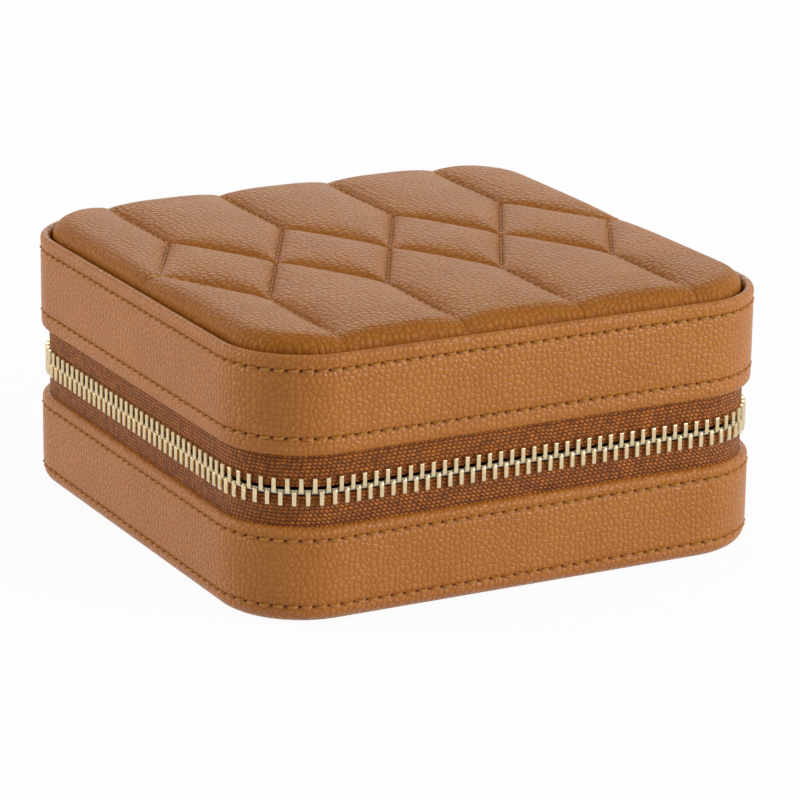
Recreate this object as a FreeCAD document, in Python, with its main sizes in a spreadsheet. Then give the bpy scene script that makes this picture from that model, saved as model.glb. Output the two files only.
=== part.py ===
import FreeCAD, Part
import Sketcher
import math
import os

from FreeCAD import Placement, Rotation, Vector

# Square zip-round jewellery case in quilted leather, closed.
# The origin is the middle of the underside, +Z is up and the front faces -Y.
# The back (+Y) carries the leather gusset that the lid folds on; the slider runs on the right side (+X).

doc = FreeCAD.newDocument("jewellery_case")
sheet = doc.addObject("Spreadsheet::Sheet", "sizes")

SIZES = {
    # outside
    "case_width": 130.0,
    "case_depth": 130.0,
    "corner_radius": 20.0,
    "base_height": 21.4,
    "zip_gap": 15.8,
    "lid_height": 22.1,
    # walls, from the outside in
    "leather": 1.7,
    "glue": 0.1,
    "board": 2.2,
    "suede": 0.8,
    "foot_leather": 1.2,
    "foot_turn_in": 8.0,
    "foot_radius": 4.0,
    "foot_bevel": 1.6,
    "edge_radius": 1.5,
    # rolled rim and quilted top
    "rim_width": 2.2,
    "rim_depth": 4.0,
    "rim_groove": 0.7,
    "pad_rise": 3.3,
    "pad_radius": 3.6,
    "quilt_pitch": 28.8,
    "quilt_length": 51.5,
    "quilt_reach": 8.0,
    "quilt_depth": 1.5,
    # zip
    "tape": 0.8,
    "tape_tuck": 8.0,
    "chain_gap": 3.2,
    "tooth_pitch": 2.74,
    "tooth_width": 1.1,
    "tooth_length": 3.4,
    "tooth_overlap": 0.6,
    "tooth_thickness": 2.8,
    "tooth_clearance": 0.05,
    "stop_length": 2.0,
    # gusset that the lid folds on
    "gusset_width": 64.0,
    "gusset_fold": 0.1,
    # slider and pull
    "slider_length": 12.0,
    "slider_tail": 9.2,
    "slider_shoulder": 11.2,
    "slider_plate": 1.1,
    "slider_flange": 1.05,
    "slider_clearance": 0.25,
    "slider_post": 2.4,
    "slider_post_length": 3.0,
    "slider_setback": 9.0,
    "bail_strip": 0.8,
    "bail_width": 1.2,
    "eye_wall": 0.55,
    "eye_width": 3.0,
    "eye_clearance": 0.15,
    "pull_length": 22.0,
    "pull_width": 7.0,
    "pull_thickness": 1.4,
    "pull_slot": 3.0,
    "pull_slot_length": 8.0,
    # inside
    "divider": 3.0,
    "divider_height": 14.5,
    "divider_place": 8.0,
    "roll_count": 6,
    "roll_height": 12.5,
    "roll_gap": 0.3,
    "frame_margin": 6.0,
    "frame_width": 9.0,
    "frame_thickness": 3.2,
    "mirror_glass": 2.0,
    "mirror_corner": 8.0,
    "mirror_lap": 3.0,
}
for row, (alias, size) in enumerate(SIZES.items(), start=1):
    sheet.set(f"A{row}", alias.replace("_", " "))
    sheet.set(f"B{row}", str(size))
    sheet.setAlias(f"B{row}", alias)
doc.recompute()

# Places worked out from the driving sizes, as expressions.
# An inset is measured inwards from the leather's outer face.
LID_EDGE = "(sizes.base_height + sizes.zip_gap)"
RIM_TOP = f"({LID_EDGE} + sizes.lid_height)"
ZIP_MIDDLE = "(sizes.base_height + sizes.zip_gap / 2)"
TAPE_OUT = "(sizes.leather + sizes.glue)"
TAPE_MIDDLE = f"({TAPE_OUT} + sizes.tape / 2)"
TAPE_IN = f"({TAPE_OUT} + sizes.tape)"
RABBET = f"({TAPE_IN} + sizes.glue)"
BOARD_OUT = "(sizes.leather + sizes.glue)"
BOARD_IN = f"({BOARD_OUT} + sizes.board)"
SUEDE_OUT = f"({BOARD_IN} + sizes.glue)"
SUEDE_IN = f"({SUEDE_OUT} + sizes.suede)"
BASE_BOARD_FOOT = "(sizes.foot_leather + sizes.glue)"
BASE_BOARD_TOP = "(sizes.base_height - sizes.suede - sizes.glue)"
BASE_FLOOR = f"({BASE_BOARD_FOOT} + sizes.board + sizes.glue + sizes.suede)"
LID_BOARD_EDGE = f"({LID_EDGE} + sizes.suede + sizes.glue)"
LID_BOARD_TOP = f"({RIM_TOP} - sizes.rim_depth - sizes.glue)"
LID_CEILING = f"({LID_BOARD_TOP} - sizes.board - sizes.glue - sizes.suede)"
SLIDER_MIDDLE = "(sizes.case_depth / 2 - sizes.corner_radius - sizes.slider_setback)"
STOP_FRONT = f"({SLIDER_MIDDLE} + sizes.slider_length / 2 + sizes.slider_clearance)"
STOP_REAR = f"({STOP_FRONT} + sizes.stop_length)"
PAD_OUT = "(sizes.rim_width + sizes.rim_groove)"
PAD_FOOT = f"({RIM_TOP} - sizes.rim_depth)"
PAD_TOP = f"({RIM_TOP} + sizes.pad_rise)"


def number(expression):
    """The present value of an expression on the sheet."""
    return float(sheet.evalExpression(str(expression)))


# Building blocks shared by the sub-parts

def new_body(label):
    """A body with its node's name."""
    body = doc.addObject("PartDesign::Body", label)
    body.Label = label
    return body


def new_sketch(body, role, lift="0"):
    """A sketch on one of the body's own planes, lifted along the plane's normal."""
    plane = next(item for item in body.Origin.OriginFeatures if item.Role == role)
    sketch = body.newObject("Sketcher::SketchObject", body.Label + "_sketch")
    sketch.AttachmentSupport = (plane, [""])
    sketch.MapMode = "FlatFace"
    sketch.setExpression("AttachmentOffset.Base.z", lift)
    return sketch


def bind(sketch, name, constraint, expression):
    """Adds a named dimension and ties it to the sheet."""
    index = sketch.addConstraint(constraint)
    sketch.renameConstraint(index, name)
    sketch.setExpression(f"Constraints.{name}", expression)


def add_rounded_rectangle(sketch, half_x, half_y, radius, tag):
    """Draws a rounded rectangle about the sketch's origin: four sides, then four corner arcs."""
    x, y, r = number(half_x), number(half_y), number(radius)
    first = sketch.GeometryCount
    corners = [(x - r, r - y, -90), (x - r, y - r, 0), (r - x, y - r, 90), (r - x, r - y, 180)]
    sides = [((r - x, -y), (x - r, -y)), ((x, r - y), (x, y - r)),
             ((x - r, y), (r - x, y)), ((-x, y - r), (-x, r - y))]
    for start, end in sides:
        sketch.addGeometry(Part.LineSegment(Vector(*start, 0), Vector(*end, 0)), False)
    for centre_x, centre_y, angle in corners:
        circle = Part.Circle(Vector(centre_x, centre_y, 0), Vector(0, 0, 1), r)
        arc = Part.ArcOfCircle(circle, math.radians(angle), math.radians(angle + 90))
        sketch.addGeometry(arc, False)
    for k in range(4):
        side, arc, following = first + k, first + 4 + k, first + (k + 1) % 4
        sketch.addConstraint(Sketcher.Constraint("Tangent", side, 2, arc, 1))
        sketch.addConstraint(Sketcher.Constraint("Tangent", arc, 2, following, 1))
        direction = "Horizontal" if k % 2 == 0 else "Vertical"
        sketch.addConstraint(Sketcher.Constraint(direction, side))
        if k:
            sketch.addConstraint(Sketcher.Constraint("Equal", first + 4, arc))
    bind(sketch, f"front_{tag}", Sketcher.Constraint("DistanceY", first, 1, -1, 1, y), half_y)
    bind(sketch, f"right_{tag}", Sketcher.Constraint("DistanceX", -1, 1, first + 1, 1, x), half_x)
    bind(sketch, f"rear_{tag}", Sketcher.Constraint("DistanceY", -1, 1, first + 2, 1, y), half_y)
    bind(sketch, f"left_{tag}", Sketcher.Constraint("DistanceX", first + 3, 1, -1, 1, x), half_x)
    bind(sketch, f"corner_{tag}", Sketcher.Constraint("Radius", first + 4, r), radius)


def add_case_outline(sketch, inset, tag):
    """Draws the outline of the case, drawn in by an inset."""
    half_x = f"sizes.case_width / 2 - ({inset})"
    half_y = f"sizes.case_depth / 2 - ({inset})"
    add_rounded_rectangle(sketch, half_x, half_y, f"sizes.corner_radius - ({inset})", tag)


def add_polygon(sketch, points):
    """Draws a closed outline through points given as pairs of expressions, each tied to the sheet."""
    first = sketch.GeometryCount
    places = [Vector(number(a), number(b), 0) for a, b in points]
    count = len(points)
    for k in range(count):
        sketch.addGeometry(Part.LineSegment(places[k], places[(k + 1) % count]), False)
    for k in range(count):
        sketch.addConstraint(Sketcher.Constraint("Coincident", first + k, 2, first + (k + 1) % count, 1))
        for axis, label, expression, value in (("DistanceX", "x", points[k][0], places[k].x),
                                               ("DistanceY", "y", points[k][1], places[k].y)):
            constraint = Sketcher.Constraint(axis, -1, 1, first + k, 1, value)
            bind(sketch, f"{label}_{first + k}", constraint, expression)


def layer(body, insets, low, high):
    """Pads one layer of the case between two heights: a plate for one inset, a ring for two."""
    sketch = new_sketch(body, "XY_Plane", low)
    for k, inset in enumerate(insets):
        add_case_outline(sketch, inset, f"line{k}")
    return pad(body, sketch, f"({high}) - ({low})")


def pad(body, sketch, length):
    """Pads a sketch along its normal."""
    feature = body.newObject("PartDesign::Pad", body.Label + "_pad")
    feature.Profile = sketch
    feature.setExpression("Length", length)
    sketch.Visibility = False
    doc.recompute()
    return feature


def pocket(body, sketch, length, along_normal):
    """Cuts a sketch into the body, and makes sure that it cut something."""
    before = body.Shape.Volume
    feature = body.newObject("PartDesign::Pocket", body.Label + "_pocket")
    feature.Profile = sketch
    feature.setExpression("Length", length)
    feature.Reversed = along_normal
    doc.recompute()
    if body.Shape.Volume >= before:
        raise RuntimeError(f"{feature.Name} cut nothing")
    return feature


def rolled_edge(height, inset, rise, turn, steps):
    """Heights and insets of the outlines that turn an edge over: a quarter round that starts on the wall."""
    outlines = []
    for k in range(steps + 1):
        angle = math.pi / 2 * k / steps
        lifted = f"{height} + {math.sin(angle):.6f} * {rise}"
        outlines.append((lifted, f"{inset} + {1 - math.cos(angle):.6f} * {turn}"))
    return outlines


def loft(body, kind, sections):
    """Lofts straight from outline to outline; each section is a height and an inset."""
    sketches = []
    for k, (height, inset) in enumerate(sections):
        sketch = new_sketch(body, "XY_Plane", height)
        add_case_outline(sketch, inset, f"section{k}")
        sketches.append(sketch)
    doc.recompute()
    feature = body.newObject(f"PartDesign::{kind}", body.Label + "_loft")
    feature.Profile = sketches[0]
    feature.Sections = sketches[1:]
    feature.Ruled = True
    doc.recompute()
    return feature


# Leather of the base: a strip round the wall, turned under at the foot, and the panel that it stands on

def make_base_band():
    band = new_body("base_band")
    foot = rolled_edge("sizes.foot_radius", "0", "(-sizes.foot_radius)", "sizes.foot_radius", 3)
    turn = "sizes.edge_radius"
    edge = rolled_edge(f"(sizes.base_height - {turn})", "0", turn, turn, 2)
    loft(band, "AdditiveLoft", foot[::-1] + edge)
    hollow = [("sizes.foot_leather", "sizes.leather + sizes.foot_bevel"),
              ("sizes.foot_leather + sizes.foot_bevel", "sizes.leather"),
              ("sizes.base_height", "sizes.leather")]
    loft(band, "SubtractiveLoft", hollow)
    floor = new_sketch(band, "XY_Plane", "0")
    add_case_outline(floor, "sizes.foot_turn_in", "floor")
    pocket(band, floor, "sizes.foot_leather", True)
    return band


def make_base_bottom_cover():
    cover = new_body("base_bottom_cover")
    layer(cover, ["sizes.foot_turn_in + sizes.glue"], "0", "sizes.foot_leather")
    return cover


# Boards of the two halves: trays with a rabbet for the zip tape round their open edge

def make_base_shell():
    shell = new_body("base_shell")
    tray = [(BASE_BOARD_FOOT, f"{BOARD_OUT} + sizes.foot_bevel"),
            (f"{BASE_BOARD_FOOT} + sizes.foot_bevel", BOARD_OUT), (BASE_BOARD_TOP, BOARD_OUT)]
    loft(shell, "AdditiveLoft", tray)
    hollow = new_sketch(shell, "XY_Plane", BASE_BOARD_TOP)
    add_case_outline(hollow, BOARD_IN, "hollow")
    pocket(shell, hollow, f"{BASE_BOARD_TOP} - {BASE_BOARD_FOOT} - sizes.board", False)
    rabbet = new_sketch(shell, "XY_Plane", BASE_BOARD_TOP)
    add_case_outline(rabbet, BOARD_OUT, "outer")
    add_case_outline(rabbet, RABBET, "inner")
    pocket(shell, rabbet, f"{BASE_BOARD_TOP} - sizes.base_height + sizes.tape_tuck + sizes.glue", False)
    return shell


def make_lid_shell():
    shell = new_body("lid_shell")
    layer(shell, [BOARD_OUT], LID_BOARD_EDGE, LID_BOARD_TOP)
    hollow = new_sketch(shell, "XY_Plane", LID_BOARD_EDGE)
    add_case_outline(hollow, BOARD_IN, "hollow")
    pocket(shell, hollow, f"{LID_BOARD_TOP} - {LID_BOARD_EDGE} - sizes.board", True)
    rabbet = new_sketch(shell, "XY_Plane", LID_BOARD_EDGE)
    add_case_outline(rabbet, BOARD_OUT, "outer")
    add_case_outline(rabbet, RABBET, "inner")
    pocket(shell, rabbet, f"{LID_EDGE} + sizes.tape_tuck + sizes.glue - {LID_BOARD_EDGE}", True)
    return shell


# Suede linings: trays inside the boards, turned outwards over the board edges up to the zip tape

def make_base_lining():
    lining = new_body("base_lining")
    layer(lining, [SUEDE_OUT], f"{BASE_FLOOR} - sizes.suede", BASE_FLOOR)
    layer(lining, [SUEDE_OUT, SUEDE_IN], BASE_FLOOR, "sizes.base_height")
    layer(lining, [RABBET, SUEDE_IN], "sizes.base_height - sizes.suede", "sizes.base_height")
    return lining


def make_lid_lining():
    lining = new_body("lid_lining")
    layer(lining, [SUEDE_OUT], LID_CEILING, f"{LID_CEILING} + sizes.suede")
    layer(lining, [SUEDE_OUT, SUEDE_IN], LID_EDGE, LID_CEILING)
    layer(lining, [RABBET, SUEDE_IN], LID_EDGE, f"{LID_EDGE} + sizes.suede")
    return lining


# Leather of the lid: a strip round the wall with a rolled rim that stands above the board

def make_lid_band():
    band = new_body("lid_band")
    roll = "(sizes.rim_width / 2 - sizes.glue / 2)"
    turn = "sizes.edge_radius"
    edge = rolled_edge(f"({LID_EDGE} + {turn})", "0", f"(-{turn})", turn, 2)
    outer = rolled_edge(f"({RIM_TOP} - {roll})", "0", roll, roll, 2)
    loft(band, "AdditiveLoft", edge[::-1] + outer)
    inner = rolled_edge(f"({RIM_TOP} - {roll})", "sizes.rim_width", roll, f"(-{roll})", 2)
    loft(band, "SubtractiveLoft", [(PAD_FOOT, "sizes.rim_width")] + inner)
    hollow = new_sketch(band, "XY_Plane", LID_EDGE)
    add_case_outline(hollow, "sizes.leather", "hollow")
    pocket(band, hollow, f"{PAD_FOOT} - {LID_EDGE}", True)
    return band


# Quilted top: a padded panel whose sewn seams make a row of diamonds with straight seams to the edges

def quilt_seams():
    """The seams as pairs of points: the diamonds' sides, then the runs to the four edges."""
    pitch, half_length = number("sizes.quilt_pitch"), number("sizes.quilt_length / 2")
    edge_x = number(f"sizes.case_width / 2 - {PAD_OUT}")
    edge_y = number(f"sizes.case_depth / 2 - {PAD_OUT}")
    diamonds = int(2 * edge_x // pitch)
    seams = []
    for k in range(diamonds):
        middle = (k - (diamonds - 1) / 2) * pitch
        rear, front = (middle, half_length), (middle, -half_length)
        left, right = (middle - pitch / 2, 0), (middle + pitch / 2, 0)
        seams += [(left, rear), (rear, right), (right, front), (front, left)]
        seams += [(rear, (middle, edge_y)), (front, (middle, -edge_y))]
    tip = diamonds * pitch / 2
    seams += [((-tip, 0), (-edge_x, 0)), ((tip, 0), (edge_x, 0))]
    return seams


def seam_cutter(start, end):
    """The hollow beside one seam: two round shoulders that meet in a crease, drawn along the seam."""
    reach, depth, top = number("sizes.quilt_reach"), number("sizes.quilt_depth"), number(PAD_TOP)
    spare = depth
    radius = (reach * reach + depth * depth) / (2 * depth)
    lean = math.asin(reach / radius) / 2
    bulge_x, bulge_z = reach - radius * math.sin(lean), top - radius * (1 - math.cos(lean))
    crease = Vector(0, 0, top - depth)
    left, right = Vector(-reach, 0, top), Vector(reach, 0, top)
    left_top, right_top = left + Vector(0, 0, spare), right + Vector(0, 0, spare)
    edges = [
        Part.Arc(left, Vector(-bulge_x, 0, bulge_z), crease).toShape(),
        Part.Arc(crease, Vector(bulge_x, 0, bulge_z), right).toShape(),
        Part.makeLine(right, right_top),
        Part.makeLine(right_top, left_top),
        Part.makeLine(left_top, left),
    ]
    run = Vector(end[0] - start[0], end[1] - start[1], 0)
    cutter = Part.Face(Part.Wire(edges)).extrude(Vector(0, run.Length, 0))
    turn = math.degrees(math.atan2(-run.x, run.y))
    cutter.Placement = Placement(Vector(start[0], start[1], 0), Rotation(Vector(0, 0, 1), turn))
    return cutter


def make_quilted_top():
    cushion = new_body("quilted_cushion")
    crown = rolled_edge(f"({PAD_TOP} - sizes.pad_radius)", PAD_OUT, "sizes.pad_radius", "sizes.pad_radius", 3)
    loft(cushion, "AdditiveLoft", [(PAD_FOOT, PAD_OUT)] + crown)
    quilted = doc.addObject("Part::Feature", "quilted_top")
    shape = cushion.Shape
    for start, end in quilt_seams():
        shape = shape.cut(seam_cutter(start, end))
    quilted.Shape = shape.removeSplitter()
    return quilted


# Zip tapes: woven strips tucked behind the leather edges, open at the gusset

def make_tape(label, low, high, end_low, end_high):
    """A tape with its chain edge, and the bare end past the top stop, where the two tapes meet."""
    tape = new_body(label)
    half = "(sizes.gusset_width / 2 + sizes.glue)"
    right, rear = "(sizes.case_width / 2)", "(sizes.case_depth / 2)"
    layer(tape, [TAPE_OUT, TAPE_IN], end_low, end_high)
    chain_side = new_sketch(tape, "XY_Plane", end_low)
    add_polygon(chain_side, [(f"-{right}", f"-{rear}"), (right, f"-{rear}"), (right, STOP_REAR),
                             (half, STOP_REAR), (half, rear), (f"-{right}", rear)])
    pocket(tape, chain_side, f"({end_high}) - ({end_low})", True)
    layer(tape, [TAPE_OUT, TAPE_IN], low, high)
    opening = new_sketch(tape, "XY_Plane", low)
    add_polygon(opening, [(f"-{half}", "0"), (half, "0"), (half, rear), (f"-{half}", rear)])
    pocket(tape, opening, f"({high}) - ({low})", True)
    return tape


# Zip teeth: metal prongs that straddle the tape edges all along the chain

def chain_places():
    """The chain's straight runs in the tape's middle, from the gusset's left end, and the corner radius."""
    inset = number(TAPE_MIDDLE)
    half_x, half_y = number("sizes.case_width / 2") - inset, number("sizes.case_depth / 2") - inset
    radius = number("sizes.corner_radius") - inset
    straight_x, straight_y = half_x - radius, half_y - radius
    start = number("sizes.gusset_width / 2 + sizes.tooth_pitch / 2")
    post_point = number(f"{SLIDER_MIDDLE} + sizes.slider_length / 2 - sizes.slider_post_length")
    finish = post_point - number("sizes.tooth_pitch")
    runs = [
        (Vector(-start, half_y, 0), Vector(-1, 0, 0), straight_x - start),
        (Vector(-half_x, straight_y, 0), Vector(0, -1, 0), 2 * straight_y),
        (Vector(-straight_x, -half_y, 0), Vector(1, 0, 0), 2 * straight_x),
        (Vector(half_x, -straight_y, 0), Vector(0, 1, 0), straight_y + finish),
    ]
    return runs, radius


def chain_point(distance):
    """The point, the outward direction and the run's number at a distance along the chain."""
    runs, radius = chain_places()
    corner = radius * math.pi / 2
    for k, (start, along, length) in enumerate(runs):
        outward = Vector(along.y, -along.x, 0)
        if distance <= length:
            return start + along * distance, outward, k
        distance -= length
        if distance <= corner and k + 1 < len(runs):
            angle = distance / radius
            centre = start + along * length - outward * radius
            facing = outward * math.cos(angle) + along * math.sin(angle)
            return centre + facing * radius, facing, k
        distance -= corner
    return None


def clip(length, side, tip):
    """A metal clip over the tape edge, above (side 1) or below (side -1) the middle, its tip at a height."""
    half = number("sizes.tooth_thickness / 2")
    slot = number("sizes.tape / 2 + sizes.tooth_clearance")
    floor = number("sizes.chain_gap / 2 - sizes.tooth_clearance")
    foot = number("sizes.tooth_length - sizes.tooth_overlap / 2")
    section = [(-half, tip), (half, tip), (half, foot), (slot, foot),
               (slot, floor), (-slot, floor), (-slot, foot), (-half, foot)]
    points = [Vector(a, -length / 2, side * b) for a, b in section]
    face = Part.Face(Part.makePolygon(points + points[:1]))
    return face.extrude(Vector(0, length, 0))


def placed_on_chain(shape, place, outward):
    """Sets a clip at a place on the chain, facing outwards."""
    turn = math.degrees(math.atan2(outward.y, outward.x))
    copy = shape.copy()
    copy.Placement = Placement(place + Vector(0, 0, number(ZIP_MIDDLE)), Rotation(Vector(0, 0, 1), turn))
    return copy


def make_teeth(label, side):
    """One row of teeth in two groups: the fixed run, and the right side where the slider passes."""
    pitch = number("sizes.tooth_pitch")
    tooth = clip(number("sizes.tooth_width"), side, -number("sizes.tooth_overlap / 2"))
    right_run = len(chain_places()[0]) - 1
    groups = {label: [], label + "_right": []}
    distance = pitch / 2 if side > 0 else 0
    found = chain_point(distance)
    while found:
        place, outward, run = found
        name = label + "_right" if run == right_run else label
        groups[name].append(placed_on_chain(tooth, place, outward))
        distance += pitch
        found = chain_point(distance)
    rows = []
    for name, teeth in groups.items():
        row_of_teeth = doc.addObject("Part::Feature", name)
        row_of_teeth.Shape = Part.makeCompound(teeth)
        rows.append(row_of_teeth)
    return rows


def make_top_stop(label, side):
    """The stop that ends the slider's run, on one tape."""
    side_place = number(f"sizes.case_width / 2 - {TAPE_MIDDLE}")
    place = Vector(side_place, number(f"({STOP_FRONT} + {STOP_REAR}) / 2"), 0)
    block = clip(number("sizes.stop_length"), side, number("sizes.gusset_fold / 2"))
    stop = doc.addObject("Part::Feature", label)
    stop.Shape = placed_on_chain(block, place, Vector(1, 0, 0))
    return stop


# Gusset at the back: two leather flaps that meet at the fold, tucked behind the leather edges like the tape

def make_flap(label, low, high):
    flap = doc.addObject("Part::Box", label)
    flap.setExpression("Length", "sizes.gusset_width")
    flap.setExpression("Width", "sizes.tape")
    flap.setExpression("Height", f"{high} - {low}")
    flap.setExpression("Placement.Base.x", "-sizes.gusset_width / 2")
    flap.setExpression("Placement.Base.y", f"sizes.case_depth / 2 - {TAPE_IN}")
    flap.setExpression("Placement.Base.z", low)
    return flap


# Zip slider: two plates joined by a post, with flanges beside the tapes and a bail for the pull.
# It is drawn about the middle of the chain, with X outwards and Y along the zip.

PLATE_IN = "(sizes.tooth_thickness / 2 + sizes.slider_clearance)"
PLATE_OUT = f"({PLATE_IN} + sizes.slider_plate)"
FLANGE_END = "(sizes.tape / 2 + sizes.slider_clearance)"
EYE_IN = "(sqrt((sizes.bail_strip / 2)^2 + (sizes.bail_width / 2)^2) + sizes.eye_clearance)"
EYE_OUT = f"({EYE_IN} + sizes.eye_wall)"
BAIL_MIDDLE = f"({PLATE_OUT} + {EYE_OUT} + sizes.eye_clearance)"
BAIL_LENGTH = "(sizes.eye_width + 2 * (sizes.bail_strip + sizes.eye_clearance))"


def make_slider():
    slider = new_body("slider_body")
    tail, shoulder = "-sizes.slider_length / 2", "sizes.slider_length / 2"
    outline = [(tail, "-sizes.slider_tail / 2"), (shoulder, "-sizes.slider_shoulder / 2"),
               (shoulder, "sizes.slider_shoulder / 2"), (tail, "sizes.slider_tail / 2")]
    for low, high in ((f"-{PLATE_OUT}", f"-{PLATE_IN}"), (PLATE_IN, PLATE_OUT)):
        plate = new_sketch(slider, "YZ_Plane", low)
        add_polygon(plate, outline)
        pad(slider, plate, f"({high}) - ({low})")
        if low.startswith("-"):
            post = new_sketch(slider, "YZ_Plane", low)
            point = "sizes.slider_length / 2 - sizes.slider_post_length"
            add_polygon(post, [(point, "0"), (shoulder, "-sizes.slider_post / 2"),
                               (shoulder, "sizes.slider_post / 2")])
            pad(slider, post, f"2 * {PLATE_OUT}")
    for side in ("-", ""):
        flange = [(tail, f"{side}(sizes.slider_tail / 2)"),
                  (shoulder, f"{side}(sizes.slider_shoulder / 2)"),
                  (shoulder, f"{side}(sizes.slider_shoulder / 2 - sizes.slider_flange)"),
                  (tail, f"{side}(sizes.slider_tail / 2 - sizes.slider_flange)")]
        for low, high in ((f"-{PLATE_IN}", f"-{FLANGE_END}"), (FLANGE_END, PLATE_IN)):
            lip = new_sketch(slider, "YZ_Plane", low)
            add_polygon(lip, flange)
            pad(slider, lip, f"({high}) - ({low})")
    add_bail(slider)
    slider.setExpression("Placement.Base.x", f"sizes.case_width / 2 - {TAPE_MIDDLE}")
    slider.setExpression("Placement.Base.y", SLIDER_MIDDLE)
    slider.setExpression("Placement.Base.z", ZIP_MIDDLE)
    return slider


def add_bail(slider):
    """Pads the bail, a stamped strip that arches over the outer plate along the zip."""
    foot = f"({PLATE_OUT} - sizes.slider_plate / 2)"
    top, inner_top = f"({BAIL_MIDDLE} + sizes.bail_strip / 2)", f"({BAIL_MIDDLE} - sizes.bail_strip / 2)"
    reach, inner_reach = f"({BAIL_LENGTH} / 2)", f"({BAIL_LENGTH} / 2 - sizes.bail_strip)"
    arch = new_sketch(slider, "XY_Plane", "-sizes.bail_width / 2")
    add_polygon(arch, [(foot, f"-{reach}"), (f"{top} - sizes.bail_strip", f"-{reach}"),
                       (top, f"sizes.bail_strip - {reach}"), (top, f"{reach} - sizes.bail_strip"),
                       (f"{top} - sizes.bail_strip", reach), (foot, reach), (foot, inner_reach),
                       (inner_top, inner_reach), (inner_top, f"-{inner_reach}"), (foot, f"-{inner_reach}")])
    return pad(slider, arch, "sizes.bail_width")


# Zip pull: an eye round the bail and a flat tab with a slot, drawn about the eye's middle, hanging down

def make_pull():
    pull = new_body("pull_tab")
    half_eye, half_pull = "sizes.eye_width / 2", "sizes.pull_width / 2"
    low = "-sizes.pull_length"
    tab = new_sketch(pull, "YZ_Plane", "-sizes.pull_thickness / 2")
    shoulder = f"-{EYE_OUT} - sizes.pull_width / 2"
    add_polygon(tab, [(f"-{half_eye}", "0"), (f"-{half_eye}", f"-{EYE_OUT}"), (f"-{half_pull}", shoulder),
                      (f"-{half_pull}", f"{low} + {half_pull} / 2"), (f"-{half_pull} / 2", low),
                      (f"{half_pull} / 2", low), (half_pull, f"{low} + {half_pull} / 2"),
                      (half_pull, shoulder), (half_eye, f"-{EYE_OUT}"), (half_eye, "0")])
    pad(pull, tab, "sizes.pull_thickness")
    add_disc(pull, EYE_OUT)
    bore = new_sketch(pull, "XZ_Plane", f"-{half_eye}")
    add_circle(bore, EYE_IN)
    pocket(pull, bore, "sizes.eye_width", True)
    slot = new_sketch(pull, "YZ_Plane", "-sizes.pull_thickness / 2")
    slot_low = f"{low} + {half_pull}"
    add_polygon(slot, [("-sizes.pull_slot / 2", slot_low), ("sizes.pull_slot / 2", slot_low),
                       ("sizes.pull_slot / 2", f"{slot_low} + sizes.pull_slot_length"),
                       ("-sizes.pull_slot / 2", f"{slot_low} + sizes.pull_slot_length")])
    pocket(pull, slot, "sizes.pull_thickness", True)
    pull.setExpression("Placement.Base.x", f"sizes.case_width / 2 - {TAPE_MIDDLE} + {BAIL_MIDDLE}")
    pull.setExpression("Placement.Base.y", SLIDER_MIDDLE)
    pull.setExpression("Placement.Base.z", ZIP_MIDDLE)
    return pull


def add_circle(sketch, radius):
    """Draws a circle about the sketch's origin."""
    sketch.addGeometry(Part.Circle(Vector(0, 0, 0), Vector(0, 0, 1), number(radius)), False)
    sketch.addConstraint(Sketcher.Constraint("Coincident", 0, 3, -1, 1))
    bind(sketch, "radius", Sketcher.Constraint("Radius", 0, number(radius)), radius)


def add_disc(pull, radius):
    """Pads the eye's round body across the pull."""
    disc = new_sketch(pull, "XZ_Plane", "-sizes.eye_width / 2")
    add_circle(disc, radius)
    return pad(pull, disc, "sizes.eye_width")


# Inside of the base: two partitions and the padded rolls that hold rings

def inner_space(name, low, high):
    """A solid of the lined space between two heights, for trimming what fits in it."""
    space = new_body(name)
    layer(space, [f"{SUEDE_IN} + sizes.roll_gap"], low, high)
    return space


def make_long_divider():
    divider = doc.addObject("Part::Box", "long_divider")
    divider.setExpression("Length", f"sizes.case_width - 2 * ({SUEDE_IN} + sizes.glue)")
    divider.setExpression("Width", "sizes.divider")
    divider.setExpression("Height", "sizes.divider_height")
    divider.setExpression("Placement.Base.x", f"-sizes.case_width / 2 + {SUEDE_IN} + sizes.glue")
    divider.setExpression("Placement.Base.y", "sizes.divider_place - sizes.divider")
    divider.setExpression("Placement.Base.z", f"{BASE_FLOOR} + sizes.glue")
    return divider


def make_cross_divider():
    divider = doc.addObject("Part::Box", "cross_divider")
    front = f"(-sizes.case_depth / 2 + {SUEDE_IN} + sizes.glue)"
    divider.setExpression("Length", "sizes.divider")
    divider.setExpression("Width", f"sizes.divider_place - sizes.divider - sizes.glue - {front}")
    divider.setExpression("Height", "sizes.divider_height")
    divider.setExpression("Placement.Base.x", "-sizes.divider / 2")
    divider.setExpression("Placement.Base.y", front)
    divider.setExpression("Placement.Base.z", f"{BASE_FLOOR} + sizes.glue")
    return divider


def make_ring_rolls():
    """Rolls side by side behind the long partition, each with a round top, trimmed to the lined corners."""
    count = int(number("sizes.roll_count"))
    room = f"(sizes.case_depth / 2 - {SUEDE_IN} - sizes.divider_place)"
    step = f"({room} - sizes.roll_gap) / sizes.roll_count"
    low = f"{BASE_FLOOR} + sizes.glue"
    rolls = []
    for k in range(count):
        label = f"ring_roll_{k + 1}"
        bar = new_body(label + "_bar")
        section = new_sketch(bar, "YZ_Plane", "-sizes.case_width / 2")
        middle = f"sizes.divider_place + sizes.roll_gap / 2 + ({k} + 0.5) * {step}"
        add_roll_section(section, middle, f"({step} - sizes.roll_gap) / 2", low)
        pad(bar, section, "sizes.case_width")
        space = inner_space(label + "_space", low, f"{low} + sizes.roll_height")
        roll = doc.addObject("Part::Common", label)
        roll.Base = bar
        roll.Tool = space
        rolls.append(roll)
    return rolls


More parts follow.
